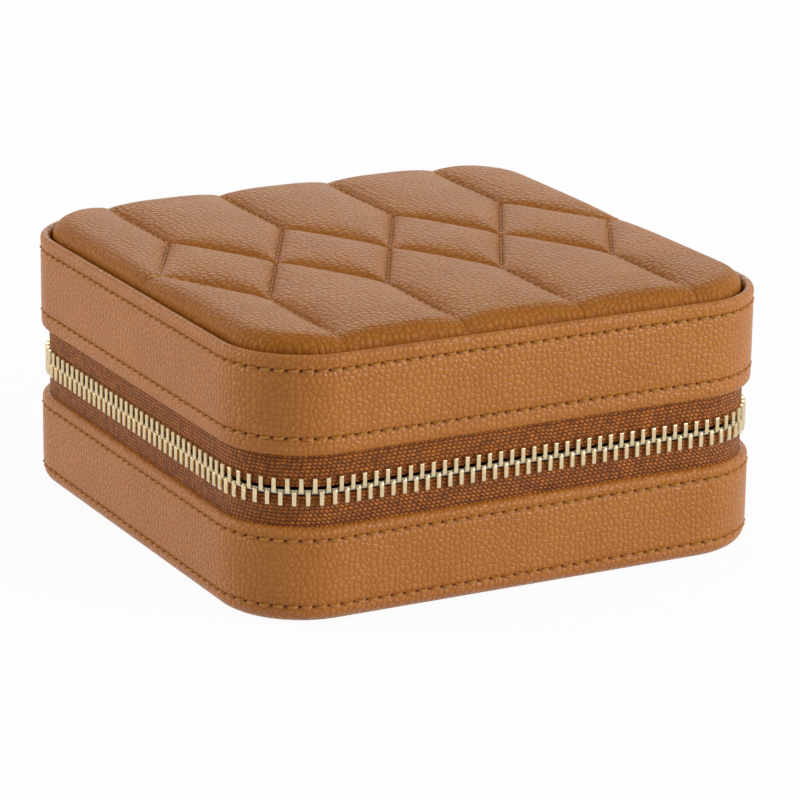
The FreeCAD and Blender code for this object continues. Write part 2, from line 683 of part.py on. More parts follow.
def add_roll_section(sketch, middle, half, low):
    """Draws a roll's section: a flat foot, two sides and a half-round top."""
    m, r, z = number(middle), number(half), number(low)
    top = number(f"{low} + sizes.roll_height") - r
    pieces = [
        Part.LineSegment(Vector(m - r, z, 0), Vector(m + r, z, 0)),
        Part.LineSegment(Vector(m + r, z, 0), Vector(m + r, top, 0)),
        Part.ArcOfCircle(Part.Circle(Vector(m, top, 0), Vector(0, 0, 1), r), 0, math.pi),
        Part.LineSegment(Vector(m - r, top, 0), Vector(m - r, z, 0)),
    ]
    for piece in pieces:
        sketch.addGeometry(piece, False)
    sketch.addConstraint(Sketcher.Constraint("Coincident", 0, 2, 1, 1))
    sketch.addConstraint(Sketcher.Constraint("Tangent", 1, 2, 2, 1))
    sketch.addConstraint(Sketcher.Constraint("Tangent", 2, 2, 3, 1))
    sketch.addConstraint(Sketcher.Constraint("Coincident", 3, 2, 0, 1))
    sketch.addConstraint(Sketcher.Constraint("Horizontal", 0))
    sketch.addConstraint(Sketcher.Constraint("Vertical", 1))
    bind(sketch, "radius", Sketcher.Constraint("Radius", 2, r), half)
    bind(sketch, "middle", Sketcher.Constraint("DistanceX", -1, 1, 2, 3, m), middle)
    bind(sketch, "foot", Sketcher.Constraint("DistanceY", -1, 1, 0, 1, z), low)
    crown = f"{low} + sizes.roll_height - {half}"
    bind(sketch, "top", Sketcher.Constraint("DistanceY", -1, 1, 2, 3, top), crown)


# Inside of the lid: a mirror laid in a padded frame, which stands a margin in from the lining

def add_frame_outline(sketch, inset, tag):
    """Draws an outline that keeps step with the mirror's frame, drawn in from the frame's outer edge."""
    margin = f"({SUEDE_IN} + sizes.frame_margin + {inset})"
    radius = f"sizes.mirror_corner - sizes.mirror_lap + sizes.frame_width - ({inset})"
    half_x, half_y = f"sizes.case_width / 2 - {margin}", f"sizes.case_depth / 2 - {margin}"
    add_rounded_rectangle(sketch, half_x, half_y, radius, tag)


def make_mirror():
    mirror = new_body("mirror")
    glass = new_sketch(mirror, "XY_Plane", f"{LID_CEILING} - sizes.glue - sizes.mirror_glass")
    add_frame_outline(glass, "sizes.frame_width - sizes.mirror_lap", "glass")
    pad(mirror, glass, "sizes.mirror_glass")
    return mirror


def make_mirror_frame():
    frame = new_body("mirror_frame")
    high = f"({LID_CEILING} - sizes.glue)"
    low = f"({high} - sizes.frame_thickness)"
    ring = new_sketch(frame, "XY_Plane", low)
    add_frame_outline(ring, "0", "outer")
    add_frame_outline(ring, "sizes.frame_width", "inner")
    pad(frame, ring, "sizes.frame_thickness")
    seat = new_sketch(frame, "XY_Plane", high)
    add_frame_outline(seat, "sizes.frame_width - sizes.mirror_lap - sizes.glue", "seat")
    pocket(frame, seat, "sizes.mirror_glass + sizes.glue", False)
    return frame


CHAIN_LOW = f"({ZIP_MIDDLE} - sizes.chain_gap / 2)"
CHAIN_HIGH = f"({ZIP_MIDDLE} + sizes.chain_gap / 2)"
TUCK_LOW = "(sizes.base_height - sizes.tape_tuck)"
TUCK_HIGH = f"({LID_EDGE} + sizes.tape_tuck)"
FOLD_LOW = f"({ZIP_MIDDLE} - sizes.gusset_fold / 2)"
FOLD_HIGH = f"({ZIP_MIDDLE} + sizes.gusset_fold / 2)"

subparts = [
    make_base_band(), make_base_bottom_cover(), make_base_shell(), make_base_lining(),
    make_long_divider(), make_cross_divider(), *make_ring_rolls(),
    make_tape("lower_zip_tape", TUCK_LOW, CHAIN_LOW, CHAIN_LOW, FOLD_LOW),
    *make_teeth("lower_zip_teeth", -1), make_top_stop("lower_top_stop", -1),
    make_flap("spine_lower_flap", TUCK_LOW, FOLD_LOW),
    make_lid_band(), make_lid_shell(), make_quilted_top(), make_lid_lining(),
    make_mirror(), make_mirror_frame(),
    make_tape("upper_zip_tape", CHAIN_HIGH, TUCK_HIGH, FOLD_HIGH, CHAIN_HIGH),
    *make_teeth("upper_zip_teeth", 1), make_top_stop("upper_top_stop", 1),
    make_flap("spine_upper_flap", FOLD_HIGH, TUCK_HIGH),
    make_slider(), make_pull(),
]
doc.recompute()

for item in doc.Objects:
    if "Invalid" in item.State or "Error" in item.State:
        raise RuntimeError(f"{item.Label} failed: {item.State}")
for part in subparts:
    if part.Shape.isNull() or not part.Shape.isValid():
        raise RuntimeError(f"{part.Label} has no valid shape")

os.makedirs("parts", exist_ok=True)
for part in subparts:
    part.Shape.exportStep(f"parts/{part.Label}.step")
    box = part.Shape.BoundBox
    print(f"{part.Label}: {len(part.Shape.Solids)} solid(s), {part.Shape.Volume:.1f} mm3, "
          f"z {box.ZMin:.2f} to {box.ZMax:.2f}")
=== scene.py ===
import math

import bmesh
import bpy
import numpy as np
from mathutils import Matrix, Vector


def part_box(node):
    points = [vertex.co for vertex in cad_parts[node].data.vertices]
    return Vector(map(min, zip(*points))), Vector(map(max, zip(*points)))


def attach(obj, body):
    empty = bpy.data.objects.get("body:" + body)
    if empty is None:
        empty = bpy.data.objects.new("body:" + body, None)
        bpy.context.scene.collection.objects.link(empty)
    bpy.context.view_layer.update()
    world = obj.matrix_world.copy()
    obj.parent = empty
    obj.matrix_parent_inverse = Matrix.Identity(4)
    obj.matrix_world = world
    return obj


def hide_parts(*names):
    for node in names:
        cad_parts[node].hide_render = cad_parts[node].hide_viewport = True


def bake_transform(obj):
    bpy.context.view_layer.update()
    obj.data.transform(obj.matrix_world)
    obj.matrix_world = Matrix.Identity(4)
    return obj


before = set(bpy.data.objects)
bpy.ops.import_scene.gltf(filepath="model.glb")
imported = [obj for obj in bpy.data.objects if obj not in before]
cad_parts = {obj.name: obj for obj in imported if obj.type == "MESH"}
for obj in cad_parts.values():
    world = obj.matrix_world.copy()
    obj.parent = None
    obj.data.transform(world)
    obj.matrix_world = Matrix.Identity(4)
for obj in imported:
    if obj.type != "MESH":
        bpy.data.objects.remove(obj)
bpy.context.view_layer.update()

# Bottom panel of the base
# A flat piece of the tan hide, cut to the opening that the turned-in foot leaves and glued to the board.
# The case stands on it, so its grain is pressed flatter than on the walls.

MM = 0.001


class Field:
    """Something that varies over a surface: one socket of a node tree. Arithmetic on it adds Math nodes."""

    def __init__(self, tree, socket):
        self.tree = tree
        self.socket = socket

    def node(self, kind, settings=None, inputs=None, outlet=0):
        """Adds a node: its settings first, then the numbers or fields of its sockets."""
        made = self.tree.nodes.new("ShaderNode" + kind)
        for name, value in (settings or {}).items():
            setattr(made, name, value)
        for name, value in (inputs or {}).items():
            if isinstance(value, Field):
                self.tree.links.new(value.socket, made.inputs[name])
            else:
                made.inputs[name].default_value = value
        return Field(self.tree, made.outputs[outlet])

    def math(self, operation, first, second):
        return self.node("Math", {"operation": operation}, {0: first, 1: second})

    def __add__(self, other):
        return self.math("ADD", self, other)

    def __radd__(self, other):
        return self.math("ADD", other, self)

    def __sub__(self, other):
        return self.math("SUBTRACT", self, other)

    def __rsub__(self, other):
        return self.math("SUBTRACT", other, self)

    def __mul__(self, other):
        return self.math("MULTIPLY", self, other)

    def __rmul__(self, other):
        return self.math("MULTIPLY", other, self)

    def between(self, low, high):
        """Mixes two colours by this value."""
        return self.node("Mix", {"data_type": "RGBA"}, {0: self, 6: low, 7: high}, 2)

    def step(self, low, high):
        """Rises smoothly from 0 to 1 as this value goes from low to high."""
        limits = {"Value": self, "From Min": low, "From Max": high}
        return self.node("MapRange", {"interpolation_type": "SMOOTHSTEP"}, limits)

    def noise(self, scale, detail, outlet="Fac"):
        """A noise over these coordinates."""
        return self.node("TexNoise", None, {"Vector": self, "Scale": scale, "Detail": detail}, outlet)

    def feed(self, shader, name):
        """Links this field to one of a shader's sockets."""
        self.tree.links.new(self.socket, shader.inputs[name])

    def emboss(self, shader, depth, strength):
        """Uses this field as the surface's relief."""
        relief = {"Strength": strength, "Distance": depth, "Height": self}
        self.node("Bump", None, relief, "Normal").feed(shader, "Normal")


def new_finish(name, constants):
    """A material with its shader's constant sockets set, and the object's own coordinates to build on."""
    material = bpy.data.materials.new(name)
    material.use_nodes = True
    tree = material.node_tree
    shader = tree.nodes["Principled BSDF"]
    for socket, value in constants.items():
        shader.inputs[socket].default_value = value
    coordinates = tree.nodes.new("ShaderNodeTexCoord")
    return material, Field(tree, coordinates.outputs["Object"]), shader


# Painted shade for the insides of the needle holes and the quilting's seam creases.
PAINTED_RECESS_SHADE = (0.07, 0.02, 0.005, 1)


def pebbled_leather(name, light, dark, cell, relief, gloss=0.33, unrolled=False, sewn=False):
    """Embossed hide: rounded pebbles parted by fine grooves; sewn hide also has painted shade in its needle
    holes and seam creases.
    """
    material, place, shader = new_finish(name, {"Specular IOR Level": gloss})
    flat = place.node("UVMap", {"uv_map": "unrolled"}, None, "UV") if unrolled else place
    drift = place.noise(0.5 / cell, 1.0, "Color")
    stretch = (0.7 * cell, 0.7 * cell, 0)
    bent = place.node("VectorMath", {"operation": "MULTIPLY_ADD"}, {0: drift, 1: stretch, 2: flat})
    grid = {"Vector": bent, "Scale": 1 / cell, "Randomness": 0.75}
    cells = {"voronoi_dimensions": "2D", "feature": "F1"}
    gap = place.node("TexVoronoi", cells | {"feature": "DISTANCE_TO_EDGE"}, grid, "Distance")
    pebble = gap.step(0.0, 0.2)
    off_centre = place.node("TexVoronoi", cells, grid, "Distance")
    dome = gap.step(0.0, 0.42) * 0.6 + (1 - off_centre * off_centre * 1.8) * 0.4
    chance = place.node("TexVoronoi", cells, grid, "Color")
    tone = place.node("SeparateColor", None, {"Color": chance}, "Red")
    mottle = place.noise(60.0, 3.0)
    creases = place.noise(3.2 / cell, 2.0)
    shade = 0.1 + pebble * 0.43 + tone * 0.2 + mottle.step(0.3, 0.7) * 0.18
    colour = shade.between(dark, light)
    roughness = 0.44 - dome * 0.15 + tone * 0.06
    height = dome * (0.8 + 0.2 * tone) + creases * 0.12
    if sewn:
        # Painted shade in the needle holes and seam creases, which are also made rougher.
        hole = place.node("Attribute", {"attribute_name": "recess_shade_mask"}, None, "Fac")
        colour = hole.step(0.25, 0.75).between(colour, PAINTED_RECESS_SHADE)
        roughness = roughness + hole * 0.4
    colour.feed(shader, "Base Color")
    roughness.feed(shader, "Roughness")
    height.emboss(shader, relief, 1.0)
    return material


def finish_node(name, material):
    """Gives a carried-over CAD piece its finish."""
    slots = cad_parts[name].data.materials
    slots.clear()
    slots.append(material)


TAN_LIGHT = (0.52, 0.19, 0.028, 1)
TAN_DARK = (0.33, 0.1, 0.01, 1)
finish_node("base_bottom_cover", pebbled_leather("panel_leather", TAN_LIGHT, TAN_DARK, 1.6 * MM, 0.05 * MM))

# Boards of the two halves
# Trays of brown packing board, scored, folded and glued at the corners, which stiffen the base and the lid.
# Leather hides them outside and suede inside, so only their cut edges could ever be seen.


def pressed_board(name):
    material, place, shader = new_finish(name, {"Specular IOR Level": 0.2})
    fibre = place.noise(900.0, 4.0)
    fibre.between((0.16, 0.11, 0.07, 1), (0.27, 0.2, 0.13, 1)).feed(shader, "Base Color")
    (0.8 + fibre * 0.15).feed(shader, "Roughness")
    fibre.emboss(shader, 0.05 * MM, 0.6)
    return material


BOARD = pressed_board("packing_board")
finish_node("base_shell", BOARD)
finish_node("lid_shell", BOARD)

# Leather wall of the base
# One strip of hide goes round the wall, is turned under at the foot and turned in at the zip edge.
# Two sewn rows draw it in: one below the zip edge, one just above the foot.

HALF = 65 * MM
CORNER_RADIUS = 20 * MM
STRAIGHT = HALF - CORNER_RADIUS
STITCHES_PER_SIDE = 30
STITCHES_PER_CORNER = 10
COLUMNS_PER_STITCH = 4
LEATHER = 1.7 * MM


def swept(profile, start, facing, legs, radius, closed=True):
    """Sweeps a profile of (inset, height) pairs along the outline.

    A leg is a run's length and its number of steps; a length of 0 stands for a corner.
    """
    bm = bmesh.new()
    outward = Vector((math.cos(facing), math.sin(facing), 0))
    chain = [bm.verts.new(start - outward * inset + Vector((0, 0, height))) for inset, height in profile]
    pairs = list(zip(chain, chain[1:]))
    if closed:
        pairs.append((chain[-1], chain[0]))
    front = chain + [bm.edges.new(pair) for pair in pairs]
    point = start.copy()
    for length, steps in legs:
        along = Vector((-outward.y, outward.x, 0))
        if length:
            turn = {"cent": (0, 0, 0), "angle": 0.0, "dvec": along * (length / steps)}
            point = point + along * length
        else:
            centre = point - outward * radius
            turn = {"cent": centre, "angle": math.pi / 2, "dvec": (0, 0, 0)}
            outward = along
            point = centre + outward * radius
        made = bmesh.ops.spin(bm, geom=front, axis=(0, 0, 1), steps=steps, use_merge=False, **turn)
        front = made["geom_last"]
    bmesh.ops.remove_doubles(bm, verts=bm.verts, dist=0.001 * MM)
    return bm


def swept_round(profile, side_steps, corner_steps, half=HALF, radius=CORNER_RADIUS, closed=True):
    """Sweeps a profile once round the case, or round a smaller square, from the left end of the front."""
    start = Vector((radius - half, -half, 0))
    legs = [(2 * (half - radius), side_steps), (0, corner_steps)] * 4
    bm = swept(profile, start, -math.pi / 2, legs, radius, closed)
    bmesh.ops.recalc_face_normals(bm, faces=bm.faces)
    return bm


def turned_edge(inset, height, radius, first, last, steps):
    """A profile's rounded edge about a centre: 0 degrees faces outwards, 90 faces up."""
    angles = [math.radians(first + (last - first) * k / steps) for k in range(steps + 1)]
    return [(inset - radius * math.cos(a), height + radius * math.sin(a)) for a in angles]


ROW_STEPS = [-1.6, -1.0, -0.6, -0.3, 0.0, 0.3, 0.6, 1.0, 1.6]
ROW_CLEAR = 1.7 * MM
ROW_MARGIN = 2.4 * MM
ROW_DEPTH = 0.3 * MM
ROW_SPREAD = 0.75 * MM
FACE_STEPS = 6
HOLE_DEPTH = 0.6 * MM
HOLE_REACH = 0.55 * MM
HOLE_SHARE = 0.05


def sewn_face(face, rows):
    """Adds the points of the sewn rows to an outer face, and draws the face in along them."""
    insets, heights = zip(*sorted(face, key=lambda pair: pair[1]))
    extra = [row + step * MM for row in rows for step in ROW_STEPS]
    extra = [z for z in extra if heights[0] < z < heights[-1]]
    kept = [z for z in heights if all(abs(z - row) > ROW_CLEAR for row in rows)]
    low = min(rows) + ROW_MARGIN
    high = max(rows) - ROW_MARGIN
    middle = [low + (high - low) * k / FACE_STEPS for k in range(FACE_STEPS + 1)]
    ends = [heights[0], heights[-1]]
    places = sorted(set(kept + extra + middle + ends))
    drawn = []
    for z in places:
        inset = float(np.interp(z, heights, insets))
        inset += sum(ROW_DEPTH * math.exp(-(((z - row) / ROW_SPREAD) ** 2)) for row in rows)
        drawn.append((inset, z))
    return drawn


def stitch_phase(place):
    """How far a place is along its stitch, from 0 at one needle hole to 1 at the next."""
    x, y = abs(place.x) - STRAIGHT, abs(place.y) - STRAIGHT
    if x > 0 and y > 0:
        share = math.atan2(y, x) / (math.pi / 2) * STITCHES_PER_CORNER
    else:
        along = place.x if y > x else place.y
        share = (along + STRAIGHT) / (2 * STRAIGHT) * STITCHES_PER_SIDE
    return share % 1.0


def from_wall(place):
    """The direction away from the case's middle line, and how far a place lies inside the outer face."""
    x = place.x - max(-STRAIGHT, min(STRAIGHT, place.x))
    y = place.y - max(-STRAIGHT, min(STRAIGHT, place.y))
    arm = Vector((x, y, 0))
    return arm.normalized(), CORNER_RADIUS - arm.length


def pierce(bm, rows):
    """Presses in the needle holes of the sewn rows, on the outer face only, and marks them for painted shade.
    """
    hole = bm.verts.layers.float.new("recess_shade_mask")
    for vert in bm.verts:
        off_row = min(abs(vert.co.z - row) for row in rows)
        if off_row > HOLE_REACH:
            continue
        outward, inset = from_wall(vert.co)
        phase = stitch_phase(vert.co)
        if inset < LEATHER / 2 and min(phase, 1 - phase) < HOLE_SHARE:
            vert[hole] = 1 - off_row / HOLE_REACH
            vert.co -= outward * HOLE_DEPTH * vert[hole]


LAP = 2 * STRAIGHT + CORNER_RADIUS * math.pi / 2
BACK_MIDDLE = 2 * LAP + STRAIGHT


def outline_distance(place):
    """How far a place is round the outline, from the middle of the back, anticlockwise seen from above."""
    for quarter in range(4):
        local = Matrix.Rotation(-quarter * math.pi / 2, 3, "Z") @ place
        if local.y < -STRAIGHT and local.x <= STRAIGHT + 1e-7 and local.x >= -STRAIGHT - 1e-7:
            rest = local.x + STRAIGHT
            break
        if local.x > STRAIGHT and local.y < -STRAIGHT:
            rest = 2 * STRAIGHT + math.atan2(local.x - STRAIGHT, -STRAIGHT - local.y) * CORNER_RADIUS
            break
    return (quarter * LAP + rest - BACK_MIDDLE) % (4 * LAP)


def unroll(bm):
    """Unrolls a strip: one unit of its map is a metre along the strip and a metre up it."""
    layer = bm.loops.layers.uv.new("unrolled")
    for face in bm.faces:
        along = [outline_distance(loop.vert.co) for loop in face.loops]
        if max(along) - min(along) > LAP:
            along = [distance + 4 * LAP if distance < LAP else distance for distance in along]
        for loop, distance in zip(face.loops, along):
            loop[layer].uv = (distance, loop.vert.co.z)


def new_piece(name, bm, material, body, nodes, sharp=50):
    """Makes a finished mesh a piece that rides on a body and stands for its CAD nodes."""
    mesh = bpy.data.meshes.new(name)
    bm.to_mesh(mesh)
    bm.free()
    mesh.shade_smooth()
    mesh.set_sharp_from_angle(angle=math.radians(sharp))
    mesh.materials.append(material)
    piece = bpy.data.objects.new(name, mesh)
    bpy.context.scene.collection.objects.link(piece)
    if body:
        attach(piece, body)
    if nodes:
        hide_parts(*nodes)
    return piece


SIDE_COLUMNS = STITCHES_PER_SIDE * COLUMNS_PER_STITCH
CORNER_COLUMNS = STITCHES_PER_CORNER * COLUMNS_PER_STITCH
WALL_LEATHER = pebbled_leather("wall_leather", TAN_LIGHT, TAN_DARK, 1.35 * MM, 0.2 * MM,
                               unrolled=True, sewn=True)
BASE_TOP = 21.4 * MM
BASE_ROWS = [4.0 * MM, 18.7 * MM]
EDGE_TURN = 1.5 * MM
FOOT_ROUND = 4 * MM
FOOT_LEATHER = 1.2 * MM
FOOT_CREASE = 1.6 * MM
FOOT_TURN = 8 * MM
foot_edge = turned_edge(FOOT_ROUND, FOOT_ROUND, FOOT_ROUND, -90, 0, 10)
zip_edge = turned_edge(EDGE_TURN, BASE_TOP - EDGE_TURN, EDGE_TURN, 0, 90, 6)
base_face = sewn_face(foot_edge + zip_edge, BASE_ROWS)
base_inside = [(LEATHER, BASE_TOP), (LEATHER, FOOT_LEATHER + FOOT_CREASE),
               (LEATHER + FOOT_CREASE, FOOT_LEATHER), (FOOT_TURN, FOOT_LEATHER), (FOOT_TURN, 0)]
bm = swept_round(base_face + base_inside, SIDE_COLUMNS, CORNER_COLUMNS)
pierce(bm, BASE_ROWS)
unroll(bm)
base_leather = new_piece("base_leather", bm, WALL_LEATHER, "base", ["base_band"])

# Thread of the base
# Bonded thread in golden brown, sewn through leather, board and lining at about eight stitches to the inch.
# Each stitch leaves one needle hole, arches over the leather and dives into the next.

THREAD = 0.3 * MM
STITCH = 2.15 * MM
STITCH_ARCH = 0.22 * MM
STITCH_DIP = 0.5 * MM
STITCH_SLANT = math.radians(5)


def twisted_thread(name):
    material, place, shader = new_finish(name, {"Specular IOR Level": 0.4, "Sheen Weight": 0.15})
    strands = place.noise(2600.0, 1.0)
    strands.between((0.29, 0.1, 0.01, 1), (0.62, 0.27, 0.04, 1)).feed(shader, "Base Color")
    (0.45 + strands * 0.2).feed(shader, "Roughness")
    strands.emboss(shader, 0.05 * MM, 0.7)
    return material


def as_pattern(bm):
    """Turns a finished mesh into a pattern that can be stamped."""
    pattern = bpy.data.meshes.new("pattern")
    bm.to_mesh(pattern)
    bm.free()
    return pattern


def stitch_pattern(length):
    """One stitch along Y, arched towards +X, with its ends in the needle holes."""
    bm = bmesh.new()
    bmesh.ops.create_cone(bm, cap_ends=True, segments=6, radius1=THREAD, radius2=THREAD, depth=length)
    bmesh.ops.rotate(bm, verts=bm.verts, cent=(0, 0, 0), matrix=Matrix.Rotation(math.pi / 2, 3, "X"))
    long_edges = [edge for edge in bm.edges if abs(edge.verts[0].co.y - edge.verts[1].co.y) > length / 2]
    bmesh.ops.subdivide_edges(bm, edges=long_edges, cuts=3)
    for vert in bm.verts:
        share = vert.co.y / (length / 2)
        vert.co.x += STITCH_ARCH - STITCH_DIP * share ** 4
    return as_pattern(bm)


def stamp(bm, pattern, matrix):
    """Adds a placed copy of a small pattern to a mesh."""
    copy = pattern.copy()
    copy.transform(matrix)
    bm.from_mesh(copy)
    bpy.data.meshes.remove(copy)


def outline_places(per_side, per_corner):
    """The middles of equal spaces round the case: points on the outer face and the way that they face."""
    for quarter in range(4):
        turn = Matrix.Rotation(quarter * math.pi / 2, 4, "Z")
        for k in range(per_side):
            along = -STRAIGHT + 2 * STRAIGHT * (k + 0.5) / per_side
            yield turn @ Vector((along, -HALF, 0)), (quarter - 1) * math.pi / 2
        for k in range(per_corner):
            angle = math.pi / 2 * (k + 0.5) / per_corner
            arm = Vector((math.sin(angle), -math.cos(angle), 0)) * CORNER_RADIUS
            yield turn @ (Vector((STRAIGHT, -STRAIGHT, 0)) + arm), (quarter - 1) * math.pi / 2 + angle


def thread_rows(name, rows, face, material, body):
    """Sews stitches along the rows of a wall, slanted a little as a machine lays them."""
    insets, heights = zip(*face)
    pattern = stitch_pattern(STITCH)
    slant = Matrix.Rotation(STITCH_SLANT, 4, "X")
    bm = bmesh.new()
    for row in rows:
        inset = float(np.interp(row, heights, insets))
        for point, facing in outline_places(STITCHES_PER_SIDE, STITCHES_PER_CORNER):
            outward = Vector((math.cos(facing), math.sin(facing), 0))
            spot = point - outward * inset + Vector((0, 0, row))
            stamp(bm, pattern, Matrix.Translation(spot) @ Matrix.Rotation(facing, 4, "Z") @ slant)
    return new_piece(name, bm, material, body, [])


SEWING_THREAD = twisted_thread("sewing_thread")
thread_rows("base_thread", BASE_ROWS, base_face, SEWING_THREAD, "base")

# Suede lining of the base
# Brushed camel suede, glued to the floor and the walls and turned outwards over the board's edge to the zip.
# Its corner at the floor is soft, because the suede bridges it.


def brushed_suede(name, light, dark):
    """Short nap that was stroked in patches: soft light and dark areas over a fine fuzz."""
    nap = {"Specular IOR Level": 0.15, "Sheen Weight": 0.5, "Sheen Roughness": 0.4}
    material, place, shader = new_finish(name, nap)
    patches = {"Vector": place, "Scale": 70.0, "Detail": 2.0, "Distortion": 0.6}
    stroke = place.node("TexNoise", None, patches, "Fac")
    fuzz = place.noise(2200.0, 3.0)
    (stroke.step(0.3, 0.7) * 0.6 + fuzz * 0.4).between(dark, light).feed(shader, "Base Color")
    (0.85 + fuzz * 0.15).feed(shader, "Roughness")
    fuzz.emboss(shader, 0.08 * MM, 0.5)
    return material


SUEDE_LIGHT = (0.62, 0.43, 0.27, 1)
SUEDE_DARK = (0.47, 0.3, 0.17, 1)
SUEDE = brushed_suede("camel_suede", SUEDE_LIGHT, SUEDE_DARK)
SUEDE_THICKNESS = 0.8 * MM
SUEDE_OUT = 4.1 * MM
SUEDE_IN = SUEDE_OUT + SUEDE_THICKNESS
SUEDE_BRIDGE = 1.6 * MM
SUEDE_FOLD = 0.6 * MM
RABBET = 2.7 * MM
FLOOR_EDGE = 8 * MM
LINING_CORNER_STEPS = 14
BASE_FLOOR = 4.4 * MM


def close_holes(bm):
    """Fills a piece's open floor or its open ends."""
    bmesh.ops.holes_fill(bm, edges=[edge for edge in bm.edges if edge.is_boundary], sides=0)
    bmesh.ops.recalc_face_normals(bm, faces=bm.faces)


def lining_tray(name, node, floor, rim, body):
    """A suede tray from its floor, or the lid's ceiling, to the rim that is turned out to the zip."""
    way = 1 if rim > floor else -1
    back = way * SUEDE_THICKNESS
    bridge = turned_edge(SUEDE_IN + SUEDE_BRIDGE, floor + way * SUEDE_BRIDGE, SUEDE_BRIDGE, -90 * way, 0, 5)
    fold = turned_edge(SUEDE_IN - SUEDE_FOLD, rim - way * SUEDE_FOLD, SUEDE_FOLD, 180, 180 - 90 * way, 4)
    outside = [(RABBET, rim), (RABBET, rim - back), (SUEDE_OUT, rim - back), (SUEDE_OUT, floor - back)]
    profile = [(FLOOR_EDGE, floor)] + bridge + fold + outside + [(FLOOR_EDGE, floor - back)]
    bm = swept_round(profile, 1, LINING_CORNER_STEPS, closed=False)
    close_holes(bm)
    lining = new_piece(name, bm, SUEDE, body, [node])


lining_tray("base_suede", "base_lining", BASE_FLOOR, BASE_TOP, "base")

# Partitions of the base
# Thin boards wrapped in the same suede, which make two boxes at the front and a bay for rings behind.
# The suede is folded over the top edge, so that edge is round.

WRAP_ROUND = 1.1 * MM


def rounded(bm, edges, offset, segments):
    """Rounds edges off."""
    bmesh.ops.bevel(bm, geom=edges, offset=offset, offset_type="OFFSET", affect="EDGES", segments=segments,
                    profile=0.5, material=-1)


def wrapped_board(name, node):
    """A board in its CAD piece's place, with its edges rounded by the suede round it."""
    low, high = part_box(node)
    bm = bmesh.new()
    bmesh.ops.create_cube(bm, size=1.0)
    bmesh.ops.scale(bm, verts=bm.verts, vec=high - low)
    bmesh.ops.translate(bm, verts=bm.verts, vec=(low + high) / 2)
    rounded(bm, bm.edges[:], WRAP_ROUND, 4)
    board = new_piece(name, bm, SUEDE, "base", [node])


wrapped_board("long_partition", "long_divider")
wrapped_board("cross_partition", "cross_divider")

# Ring rolls
# Strips of foam rolled in suede and packed side by side, so that a ring can be pushed between two of them.
# Each has a round top that swells a little between its ends, and ends that follow the lined corners.

ROLL_CUTS = 48
ROLL_ROUND = 0.46
ROLL_EDGE = 1.2 * MM
ROLL_ENDS = 5 * MM
ROLL_DROP = 0.9 * MM
ROLL_REACH = HALF - SUEDE_IN - 0.3 * MM
RIPPLE = 0.12 * MM
RIPPLE_ALONG = 420
RIPPLE_SHIFT = 900


def raised(bm, faces, shift):
    """Extrudes faces by a shift, and leaves the first faces to close the far side."""
    made = bmesh.ops.extrude_face_region(bm, geom=faces, use_keep_orig=True)
    moved = [item for item in made["geom"] if isinstance(item, bmesh.types.BMVert)]
    bmesh.ops.translate(bm, verts=moved, vec=shift)
    bmesh.ops.recalc_face_normals(bm, faces=bm.faces)


def ring_roll(name, node):
    """One roll in its CAD piece's place: a bar cut often along its length, with a crowned, rounded top."""
    low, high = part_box(node)
    size = high - low
    bm = bmesh.new()
    bmesh.ops.create_grid(bm, x_segments=ROLL_CUTS, y_segments=1, size=0.5)
    bmesh.ops.scale(bm, verts=bm.verts, vec=(size.x, size.y, 1))
    raised(bm, bm.faces[:], (0, 0, size.z))
    long_edges = [edge for edge in bm.edges if all(abs(abs(v.co.y) - size.y / 2) < 1e-6 for v in edge.verts)
                  and all(abs(v.co.z - size.z) < 1e-6 for v in edge.verts)]
    rounded(bm, long_edges, size.y * ROLL_ROUND, 7)
    end_edges = [edge for edge in bm.edges if edge.calc_face_angle(0) > 1.0 and
                 all(abs(abs(v.co.x) - size.x / 2) < 1e-6 for v in edge.verts)]
    rounded(bm, end_edges, ROLL_EDGE, 3)
    centre = (low + high) / 2
    corner = ROLL_REACH - STRAIGHT
    for vert in bm.verts:
        share = min(1.0, (size.x / 2 - abs(vert.co.x)) / ROLL_ENDS)
        ripple = RIPPLE * math.sin(vert.co.x * RIPPLE_ALONG + centre.y * RIPPLE_SHIFT)
        vert.co.z += (vert.co.z / size.z) * (ripple - ROLL_DROP * (1 - share) ** 2)
        vert.co += Vector((centre.x, centre.y, low.z))
        over = Vector((abs(vert.co.x) - STRAIGHT, abs(vert.co.y) - STRAIGHT))
        if over.x > 0 and over.y > 0 and over.length > corner:
            room = math.sqrt(max(corner ** 2 - over.y ** 2, 0.0))
            vert.co.x = math.copysign(STRAIGHT + room, vert.co.x)
    roll = new_piece(name, bm, SUEDE, "base", [node])


for k in range(1, 7):
    ring_roll(f"suede_roll_{k}", f"ring_roll_{k}")

# Zip tapes
# Two woven polyester tapes in russet brown, sewn between leather and board, with a thicker beaded edge.
# Their twill shows as rows of fine slanted knots above and below the teeth.

ZIP_MIDDLE = 29.3 * MM
GUSSET_WIDTH = 64 * MM
TAPE_START = GUSSET_WIDTH / 2 + 0.1 * MM
TAPE_OUT = 1.8 * MM
TAPE_IN = 2.6 * MM
TAPE_TUCKED = 15.9 * MM
CHAIN_GAP = 1.5 * MM
CORD_GAP = 1.0 * MM
BARE_GAP = 0.05 * MM
BEAD_MIDDLE = 0.55 * MM
BEAD_HEIGHT = 1.1 * MM
BEAD_SWELL = 0.25 * MM
KNOT_HEIGHT = 0.82 * MM
KNOT_LENGTH = 1.2 * MM
YARN_DRIFT = 0.7 * MM


